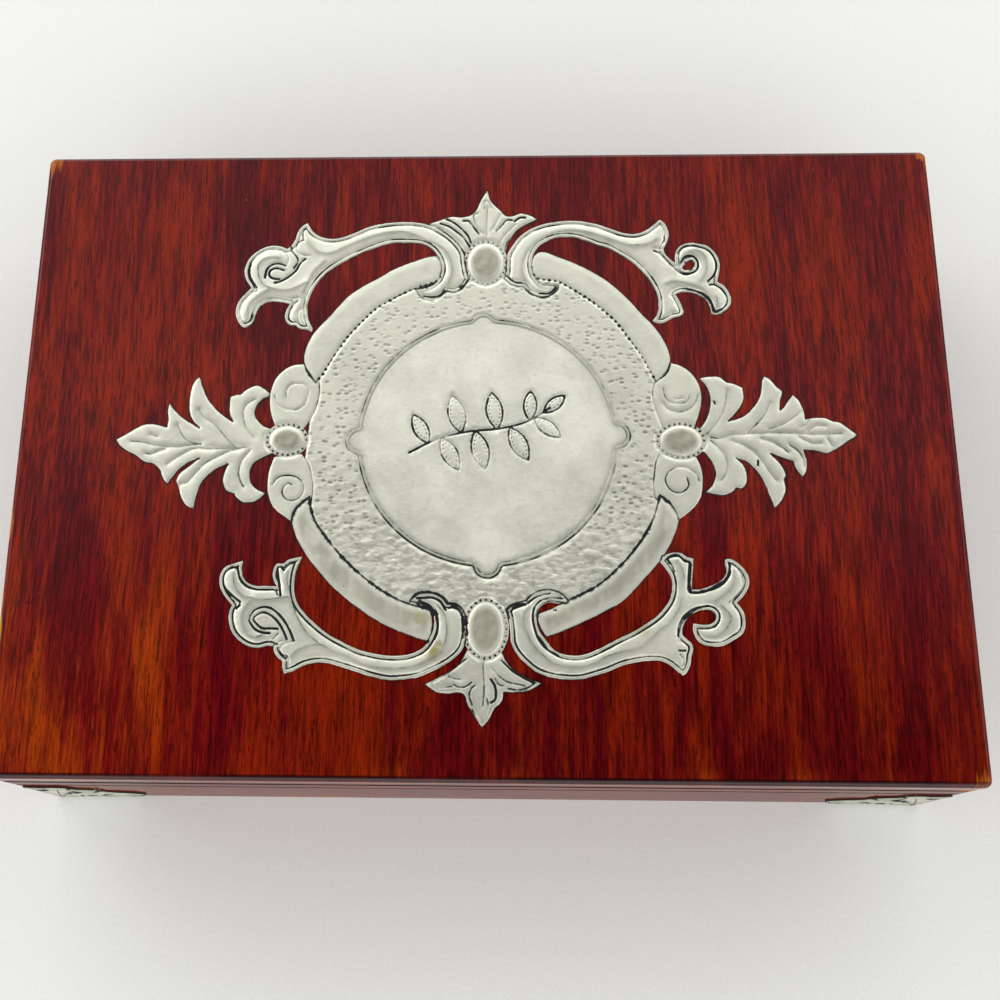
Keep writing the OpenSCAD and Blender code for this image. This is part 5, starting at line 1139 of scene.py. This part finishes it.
# %% A helper that wires nodes
class Finish:
    def __init__(self, owner, shader="Principled BSDF"):
        self.mat = bpy.data.materials.new(owner) if isinstance(owner, str) else owner
        self.mat.use_nodes = True
        self.nodes, self.links = self.mat.node_tree.nodes, self.mat.node_tree.links
        self.shader = self.nodes[shader]

    def put(self, socket, value):
        """Link a value that is another node's output, or set it as a number, a vector or a colour."""
        if isinstance(value, bpy.types.NodeSocket):
            self.links.new(value, socket)
        else:
            socket.default_value = (*value, 1) if socket.type == "RGBA" and len(value) == 3 else value

    def set(self, **values):
        """Set inputs of the finish's own shader."""
        for name, v in values.items():
            self.put(self.shader.inputs[name.replace("_", " ")], v)

    def place(self, kind="Object"):
        """Position of the piece at rest in metres, or the direction of view with "Generated" in the room."""
        return self.nodes.new("ShaderNodeTexCoord").outputs[kind]

    def parts(self, vector):
        """The x, y and z of a vector."""
        n = self.nodes.new("ShaderNodeSeparateXYZ")
        self.put(n.inputs[0], vector)
        return n.outputs

    def stretched(self, vector, scale, shift=(0, 0, 0)):
        n = self.nodes.new("ShaderNodeMapping")
        self.put(n.inputs["Vector"], vector)
        n.inputs["Scale"].default_value = scale if isinstance(scale, tuple) else (scale,) * 3
        n.inputs["Location"].default_value = shift
        return n.outputs["Vector"]

    def noise(self, vector, scale, detail, rough=0.55, warp=0.0, shift=(0, 0, 0)):
        """Soft random clouds; scale is how many fit in a metre, one number or one for x, y and z."""
        n = self.nodes.new("ShaderNodeTexNoise")
        self.put(n.inputs["Vector"], self.stretched(vector, scale, shift))
        for name, v in (("Scale", 1), ("Detail", detail), ("Roughness", rough), ("Distortion", warp)):
            n.inputs[name].default_value = v
        return n.outputs["Fac"]

    def cells(self, vector, scale, random=False):
        """Distance from the nearest of many random points, or a random number for its cell."""
        n = self.nodes.new("ShaderNodeTexVoronoi")
        self.put(n.inputs["Vector"], vector)
        n.inputs["Scale"].default_value = scale
        return n.outputs["Color" if random else "Distance"]

    def math(self, how, a, b=0.0, c=0.0):
        n = self.nodes.new("ShaderNodeMath")
        n.operation = how
        for k, v in enumerate((a, b, c)):
            self.put(n.inputs[k], v)
        return n.outputs[0]

    def times(self, first, *others):
        for other in others:
            first = self.math("MULTIPLY", first, other)
        return first

    def weighed(self, first, *others):
        """Sum of values, each given with its weight."""
        total = self.math("MULTIPLY", *first)
        for value, weight in others:
            total = self.math("MULTIPLY_ADD", value, weight, total)
        return total

    def far(self, x, y, squash=1.0):
        """Distance from the middle of a circle, or of an ellipse if x counts less."""
        return self.math("SQRT", self.weighed((self.times(x, x), squash), (self.times(y, y), 1)))

    def step(self, value, a, b, low=0.0, high=1.0):
        """Goes softly from `low` to `high` as the value goes from a to b."""
        n = self.nodes.new("ShaderNodeMapRange")
        n.interpolation_type = "SMOOTHSTEP"
        for k, v in enumerate((value, a, b, low, high)):
            self.put(n.inputs[k], v)
        return n.outputs[0]

    def mix(self, share, a, b, how="MIX"):
        """Colour a, changed to b by this share."""
        n = self.nodes.new("ShaderNodeMix")
        n.data_type, n.blend_type = "RGBA", how
        for k, v in ((0, share), (6, a), (7, b)):
            self.put(n.inputs[k], v)
        return n.outputs[2]

    def value(self, name):
        """A number stored with the points of the mesh."""
        n = self.nodes.new("ShaderNodeAttribute")
        n.attribute_name = name
        return n.outputs["Fac"]

    def grey(self, value):
        """A colour whose three channels are this number."""
        n = self.nodes.new("ShaderNodeCombineColor")
        for socket in n.inputs:
            self.put(socket, value)
        return n.outputs[0]

    def bump(self, value, depth, strength):
        """A bump whose value 1 stands `depth` metres high."""
        n = self.nodes.new("ShaderNodeBump")
        for name, v in (("Distance", depth), ("Strength", strength), ("Height", value)):
            self.put(n.inputs[name], v)
        return n.outputs["Normal"]


def paint(material, *names):
    """Give a material to pieces, or to nodes named by their names."""
    for name in names:
        piece = nodes[name] if isinstance(name, str) else name
        piece.data.materials.clear()
        piece.data.materials.append(material)


print("ready to mix finishes")

# %% [markdown]
# ### Stained and varnished wood
# The stain took unevenly: crimson where the wood is dense, amber where it is open, all in streaks along the
# grain. Over it lies a gloss varnish. Handling has rubbed the arrises back to orange. Wave textures would
# give stripes that are too even, so five noises are stretched along the grain, from broad patches to pores.

# %% Wood
CRIMSON = (0.082, 0.0014, 0.0034)
AMBER = (0.125, 0.0075, 0.0014)
BLACKISH_RED = (0.012, 0.001, 0.002)
RUBBED = (0.42, 0.11, 0.012)


def wood(name, along, shift, lit=(1, 1, 1), gloss=1.0, rub=(), joints=()):
    """Stained wood whose grain runs along axis 0, 1 or 2.

    lit makes the colour lighter or darker; gloss is the varnish's share; rub lists worn corners (x, y, z,
    radius) in mm; joints lists heights on the outer faces where a dark band is painted, and how wide it is, in
    mm.
    """
    f = Finish(name)
    at = f.place()

    def streaks(lengthwise, across, detail, rough=0.55, warp=0.0):
        scale = tuple(lengthwise if axis == along else across for axis in range(3))
        return f.noise(at, scale, detail, rough, warp, shift)

    patches = streaks(7, 38, 3, 0.5, 0.5)
    figure = streaks(20, 170, 3, 0.6, 0.25)
    fine = streaks(65, 850, 3, 0.7)
    fibres = streaks(140, 1700, 2, 0.7)
    pores = streaks(250, 1900, 2, 0.6)
    hue = f.weighed((patches, 0.45), (figure, 0.40), (fine, 0.15))
    colour = f.mix(f.step(hue, 0.43, 0.60), CRIMSON, AMBER)
    light = f.step(f.weighed((fibres, 0.50), (fine, 0.50), (hue, 0.45)), 0.56, 0.90, 0.50, 1.65)
    colour = f.mix(1.0, colour, f.grey(light), "MULTIPLY")
    colour = f.mix(f.step(pores, 0.42, 0.31, 0, 0.65), colour, BLACKISH_RED)
    x, y, z = f.parts(at)
    outer_face = [f.step(f.math("ABSOLUTE", way), (size / 2 - 1.0) * MM, (size / 2 - 0.7) * MM)
                  for way, size in ((x, panel_w), (y, panel_d))]
    # a dark band painted at each joint height; at the split it is painted shade in the gap between lid and body
    for joint, half in joints:
        off = f.math("ABSOLUTE", f.math("SUBTRACT", z, joint * MM))
        joint_band = f.times(f.step(off, half * MM, 0.5 * half * MM), f.math("MAXIMUM", *outer_face))
        colour = f.mix(joint_band, colour, BLACKISH_RED)
        gloss = f.times(gloss, f.math("SUBTRACT", 1.0, joint_band))
    colour = f.mix(1.0, colour, lit, "MULTIPLY")
    for *corner, r in rub:
        away = f.nodes.new("ShaderNodeVectorMath")
        away.operation = "DISTANCE"
        f.put(away.inputs[0], at)
        away.inputs[1].default_value = [c * MM for c in corner]
        near = f.math("MULTIPLY_ADD", f.math("SUBTRACT", fine, 0.5), 16 * MM, away.outputs["Value"])
        colour = f.mix(f.step(near, r * MM, 0.25 * r * MM, 0, 0.85), colour, RUBBED)
    rise = f.weighed((fine, 1), (f.step(pores, 0.42, 0.3, 0, -1), 0.5))
    f.set(Base_Color=colour, Roughness=f.step(figure, 0.3, 0.7, 0.42, 0.30),
          Normal=f.bump(rise, 0.035 * MM, 0.6))
    if gloss != 0.0:
        film = f.weighed((f.noise(at, 60, 2), 2.2), (fine, 0.16))
        f.set(Coat_Weight=gloss, Coat_Roughness=0.07, Coat_IOR=1.5, Coat_Normal=f.bump(film, 0.05 * MM, 0.6),
              Specular_IOR_Level=0.0)
    return f, colour, at


print("wood ready")

# %% [markdown]
# On the lid the worn rim of the panel follows its side and back edges: a narrow orange line that comes and
# goes, with a dark line just inside the front and back edges. The front left is lighter, in amber streaks,
# the front right is shaded, and a few specks of dust sit in the varnish. It could be painted by hand; worked
# out from the distance to the edges, it keeps its place if the panel changes size.

# %% Finish of the lid panel
f, colour, at = wood("varnished_lid", 1, (0.3, 0.1, 0.0), (1.04, 1.02, 1.0), 1.0,
                     [(149.5, -104.5, 76, 5), (-149.0, 104.0, 76, 5), (149.0, 104.0, 76, 3)])
x, y, z = f.parts(at)
from_side = f.math("SUBTRACT", panel_w / 2 * MM, f.math("ABSOLUTE", x))
from_front = f.math("SUBTRACT", panel_d / 2 * MM, f.math("ABSOLUTE", y))
rear_half = (y, -10 * MM, 10 * MM)
comes = f.noise(at, (20, 24, 20), 3, shift=(3, 5, 0))       # where the lines come and go
arris = f.step(z, (lid_top - 2.2) * MM, (lid_top - 0.9) * MM)

# worn side edges
width = f.step(comes, 0.48, 0.66, 0.02 * MM, 1.7 * MM)
rubbed = f.step(from_side, width, f.times(width, 0.4), 0, 0.8)
colour = f.mix(f.times(rubbed, arris), colour, RUBBED)
# worn back edge
width = f.step(comes, 0.52, 0.66, 0.05 * MM, 0.8 * MM)
rubbed = f.step(from_front, width, f.times(width, 0.3), 0, 0.75)
colour = f.mix(f.times(rubbed, f.step(*rear_half), arris), colour, RUBBED)

# shade at the front right, amber streaks at the front left and along the front edge
shady = f.times(f.step(y, -35 * MM, -85 * MM), f.step(x, -70 * MM, -10 * MM), 0.85)
colour = f.mix(shady, colour, (0.78, 0.75, 0.62), "MULTIPLY")
amber_streaks = f.step(f.noise(at, (45, 6, 6), 3, shift=(8, 0, 0)), 0.46, 0.60)
left_share = f.times(f.step(y, -20 * MM, -80 * MM), f.step(x, -20 * MM, -90 * MM, 0.15, 1.0))
edge_share = f.step(y, -98 * MM, -103 * MM, 0, 0.8)
glow = f.times(amber_streaks, f.math("MAXIMUM", left_share, edge_share))
colour = f.mix(glow, colour, (1.5, 3.0, 1.0), "MULTIPLY")

# a dark line along the front and back edges, darker at the front, and dust
dark_line = f.times(f.step(from_front, 2.2 * MM, 1.5 * MM), f.step(comes, 0.35, 0.5, 0.35, 0.9),
                    f.step(z, (lid_top - 1.0) * MM, (lid_top - 0.5) * MM), f.step(*rear_half, 1.0, 0.3))
colour = f.mix(dark_line, colour, BLACKISH_RED)
speck = f.times(f.step(f.cells(at, 75), 0.020, 0.012), f.step(f.cells(at, 75, True), 0.62, 0.66))
colour = f.mix(speck, colour, (0.62, 0.42, 0.34))
f.set(Base_Color=colour, Coat_Weight=f.step(from_side, 1.6 * MM, 0.6 * MM, 0.80, 0.20))
paint(f.mat, panel)
print(f.mat.name, "has", len(f.nodes), "nodes")

# %% The other stained pieces
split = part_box("lid_front_rail")[0].z / MM      # height where lid and body part
corners = [(150, -105, 60, 8), (150, -105, 0, 7), (-150, -105, 0, 6)]
# the dark band at the split is painted shade in the gap between lid and body; the front has a second dark band
# 12 mm lower
for name, along, shift, lit, gloss, rub, joints, pieces in (
        ("varnished_front", 0, (1.7, 0.4, 0.2), (1.25, 2.6, 0.7), 0.45, corners,
         ((split, 2.5), (split - 12, 1.4)), ("front_wall", "lid_front_rail")),
        ("varnished_side", 1, (0.9, 2.4, 0.6), (1.5, 1.8, 1.4), 0.6, corners, ((split, 0.9),),
         ("left_wall", "right_wall", "lid_left_rail", "lid_right_rail")),
        ("varnished_back", 0, (3.3, 0.8, 0.5), (1.5, 1.8, 1.4), 0.6, corners, ((split, 0.9),),
         ("back_wall", "lid_back_rail")),
        ("thin_stain_lengthwise", 0, (4.1, 1.3, 0.7), (3.0, 3.4, 2.8), 0.0, (), (),
         ("base_panel", "long_divider_front", "long_divider_rear")),
        ("thin_stain_crosswise", 1, (2.2, 3.9, 1.1), (2.9, 3.3, 2.7), 0.0, (), (),
         ("cross_divider_left", "cross_divider_middle", "cross_divider_right"))):
    paint(wood(name, along, shift, lit, gloss, rub, joints)[0].mat, *pieces)
    print(name, "on", ", ".join(pieces))

# %% [markdown]
# ### Pewter
# The polished sheet is a pale cream-silver with faint mottling and hair scratches. The black patina and the
# painted shadow along the sheet's edge sit where the numbers stored with the mesh say, so black lines and cut
# grooves always meet. The bosses are browner, the middle of the lower bands and the hammer pits and low spots
# carry painted shade, and glue has stained a few spots yellow.

# %% Colour of the polished metal
SILVER, DULL_SILVER, DISC_SILVER = (0.890, 0.895, 0.775), (0.825, 0.830, 0.712), (0.985, 0.990, 0.865)
MOTTLE, BROWN, GLUE_STAIN = (0.56, 0.56, 0.46), (0.34, 0.32, 0.23), (0.42, 0.33, 0.06)
PIT_SHADE, PAINTED_WAVE_SHADE, WASH_AND_SHADE_GREY = (0.26, 0.26, 0.21), (0.45, 0.45, 0.37), (0.40, 0.41, 0.34)
BLACK = (0.012, 0.013, 0.013)
f = Finish("chased_pewter")
at = f.place()
x, y, z = f.parts(at)
clouds = f.noise(at, 55, 4, 0.6, shift=(2, 1, 0))
mottle = f.noise(at, 700, 3, 0.6)
off = f.far(*(f.math("SUBTRACT", way, (middle + moved) * MM)
              for way, middle, moved in zip((x, y), medallion, CARTOUCHE_AT)))
colour = f.mix(f.step(clouds, 0.35, 0.65), SILVER, DULL_SILVER)
colour = f.mix(f.step(off, (disc_r + 1) * MM, (disc_r - 2) * MM), colour, DISC_SILVER)
colour = f.mix(f.step(mottle, 0.50, 0.72, 0, 0.20), colour, MOTTLE)
# warm: browner bosses, an olive bead, and painted shade in the middle of the lower bands
colour = f.mix(f.value("warm"), colour, BROWN)
colour = f.mix(f.value("stain"), colour, GLUE_STAIN)
print("polished metal ready")

# %% Hammering with painted shade in its pits and low spots, patina and scratches
hammered = f.value("hammer")
pit_at = f.stretched(at, (400, 600, 250))
pits = f.times(f.step(f.cells(pit_at, 1), 0.50, 0.16), f.step(f.cells(pit_at, 1, True), 0.0, 0.5),
               hammered, f.step(y, -45 * MM, -20 * MM))
waves = f.noise(at, (330, 560, 250), 1, 0.5, 0.3, (1, 3, 0))
wavy = f.times(hammered, f.step(y, -12 * MM, -42 * MM))
# painted shade in the hammer pits, stronger towards the front
colour = f.mix(f.times(pits, f.step(y, 60 * MM, 0, 0.50, 0.80)), colour, PIT_SHADE)
# painted shade in the low spots of the ripples on the front of the ring
colour = f.mix(f.times(f.step(waves, 0.50, 0.42), wavy, 0.52), colour, PAINTED_WAVE_SHADE)
# the grey wash: thin patina round the cuts, and painted shade in the seams, the grooves and along the edge
colour = f.mix(f.value("wash_and_shade"), colour, WASH_AND_SHADE_GREY)
worn = f.step(f.noise(at, 95, 2, shift=(7, 2, 4)), 0.38, 0.56, 0.62, 1.0)
# black where the patina lies, and painted shadow along the sheet's edges
black_share = f.step(f.times(f.value("patina_and_edge_shade"), f.step(mottle, 0.25, 0.6, 0.75, 1.15), worn), 0.12, 0.62)
hairs = f.step(f.noise(at, (260, 4200, 260), 2, 0.6), 0.60, 0.70, 0, 0.5)
cross_hairs = f.step(f.noise(at, (3600, 300, 300), 2, 0.6, shift=(5, 5, 5)), 0.62, 0.72, 0, 0.35)
rise = f.weighed((mottle, 0.8), (hairs, -0.5), (cross_hairs, -0.5), (pits, -2.0), (f.times(waves, wavy), 7.0))
f.set(Base_Color=f.mix(black_share, colour, BLACK),
      Metallic=f.math("MULTIPLY_ADD", black_share, -0.86, 0.86),
      Specular_IOR_Level=f.math("MULTIPLY_ADD", black_share, -0.4, 0.5),
      Roughness=f.math("MULTIPLY_ADD", black_share, 0.25, f.step(clouds, 0.3, 0.7, 0.36, 0.46)),
      Normal=f.bump(rise, 0.05 * MM, 0.8))
paint(f.mat, cartouche, *mounts)
print(f.mat.name, "has", len(f.nodes), "nodes")

# %% [markdown]
# ### Brass
# The hinges and screws are brass gone dull and brown in clouds, with the fine lines of drawn metal. They show
# only beside the open lid, so two noises are enough.

# %% Brass hinges and screws
BRASS, TARNISH = (0.60, 0.42, 0.16), (0.33, 0.21, 0.08)
f = Finish("tarnished_brass")
at = f.place()
clouds = f.noise(at, 160, 4, 0.6)
hairs = f.noise(at, (900, 900, 6000), 2, 0.6)
f.set(Base_Color=f.mix(f.step(clouds, 0.35, 0.68), BRASS, TARNISH), Metallic=1.0,
      Roughness=f.step(clouds, 0.3, 0.7, 0.26, 0.45),
      Normal=f.bump(f.math("ADD", hairs, clouds), 0.03 * MM, 0.5))
paint(f.mat, *[n for n in nodes if n.startswith("hinge_") or n.endswith("screws")])
print(len(bpy.data.materials), "finishes")

# %% [markdown]
# ## Floor, light and camera
# The box stands on a plain pale table in a bright room. The light is soft and comes mostly from above and
# behind; the viewer's own shape keeps the light from the near side. Lamps alone would show in the pewter as
# hard spots, so the room itself gives the light, brighter or darker by direction, with one weak window lamp.

# %% Table
TABLE = 3.0             # half the table's side, in metres
mesh = bpy.data.meshes.new("table_top")
corners = [(sx * TABLE, sy * TABLE, 0) for sx, sy in ((-1, -1), (1, -1), (1, 1), (-1, 1))]
mesh.from_pydata(corners, [], [(0, 1, 2, 3)])
table = bpy.data.objects.new("table_top", mesh)
bpy.context.scene.collection.objects.link(table)
f = Finish("pale_table")
grit = f.noise(f.place(), 900, 3)
f.set(Base_Color=f.mix(f.step(grit, 0.3, 0.7), (0.80, 0.805, 0.79), (0.765, 0.77, 0.755)), Roughness=0.6,
      Normal=f.bump(grit, 0.1 * MM, 0.3))
paint(f.mat, table)
print("table of", 2 * TABLE, "m")

# %% Room
world = bpy.data.worlds.new("room")
bpy.context.scene.world = world
f = Finish(world, "Background")
x, y, z = f.parts(f.place("Generated"))
# dim overhead, bright half way up, and softer again towards the horizon
walls = f.math("MINIMUM", f.step(z, 0.88, 0.60, 0.42, 1.80), f.step(z, 0.10, 0.55, 1.05, 1.80))
near_side = f.step(y, 0.05, -0.75, 1.0, 1.30)
window = f.step(f.weighed((x, -0.7), (y, 0.7)), 0.1, 0.8, 0.94, 1.20)
# the viewer stands in the way of the light from straight above, but not of the light from below
viewer = f.math("MAXIMUM", f.step(f.far(x, y, 0.36), 0.18, 0.36, 0.06, 1.0), f.step(z, 0.1, -0.1))
f.set(Strength=f.times(walls, near_side, window, viewer), Color=(1.0, 1.0, 0.985))

data = bpy.data.lights.new("window", "AREA")
data.size, data.energy, data.color = 0.9, 3, (1.0, 0.99, 0.97)
lamp = bpy.data.objects.new("window", data)
bpy.context.scene.collection.objects.link(lamp)
lamp.location = (-1.5, 1.3, 1.5)
lamp.rotation_euler = (Vector((0, 0, 0.05)) - lamp.location).to_track_quat("-Z", "Y").to_euler()
print("room and window lit")

# %% [markdown]
# The camera stands in front of the box and looks steeply down on the lid. Its place and directions are given
# as a matrix, which is exact where three angles would need their order explained. The lens is shifted, so
# that the box sits a little off the middle without the camera turning.

# %% Camera
EYE = (4.009, -137.422, 502.750)        # the camera's place in mm, then its three directions
RIGHT = (0.9992157, 0.0123918, -0.0376081)
UP = (-0.0000785, 0.9503888, 0.3110644)
BACK = (0.0395970, -0.3108175, 0.9496444)
data = bpy.data.cameras.new("camera")
data.sensor_width, data.lens = 36, 50.49
data.shift_x, data.shift_y = 0.0615, -0.0608
data.clip_start = 0.01
camera = bpy.data.objects.new("camera", data)
bpy.context.scene.collection.objects.link(camera)
camera.matrix_world = Matrix([(*axes, eye * MM) for *axes, eye in zip(RIGHT, UP, BACK, EYE)] + [(0, 0, 0, 1)])
bpy.context.scene.camera = camera
bpy.context.scene.view_settings.view_transform = "Standard"
print("camera looks down from", round(EYE[2]), "mm")
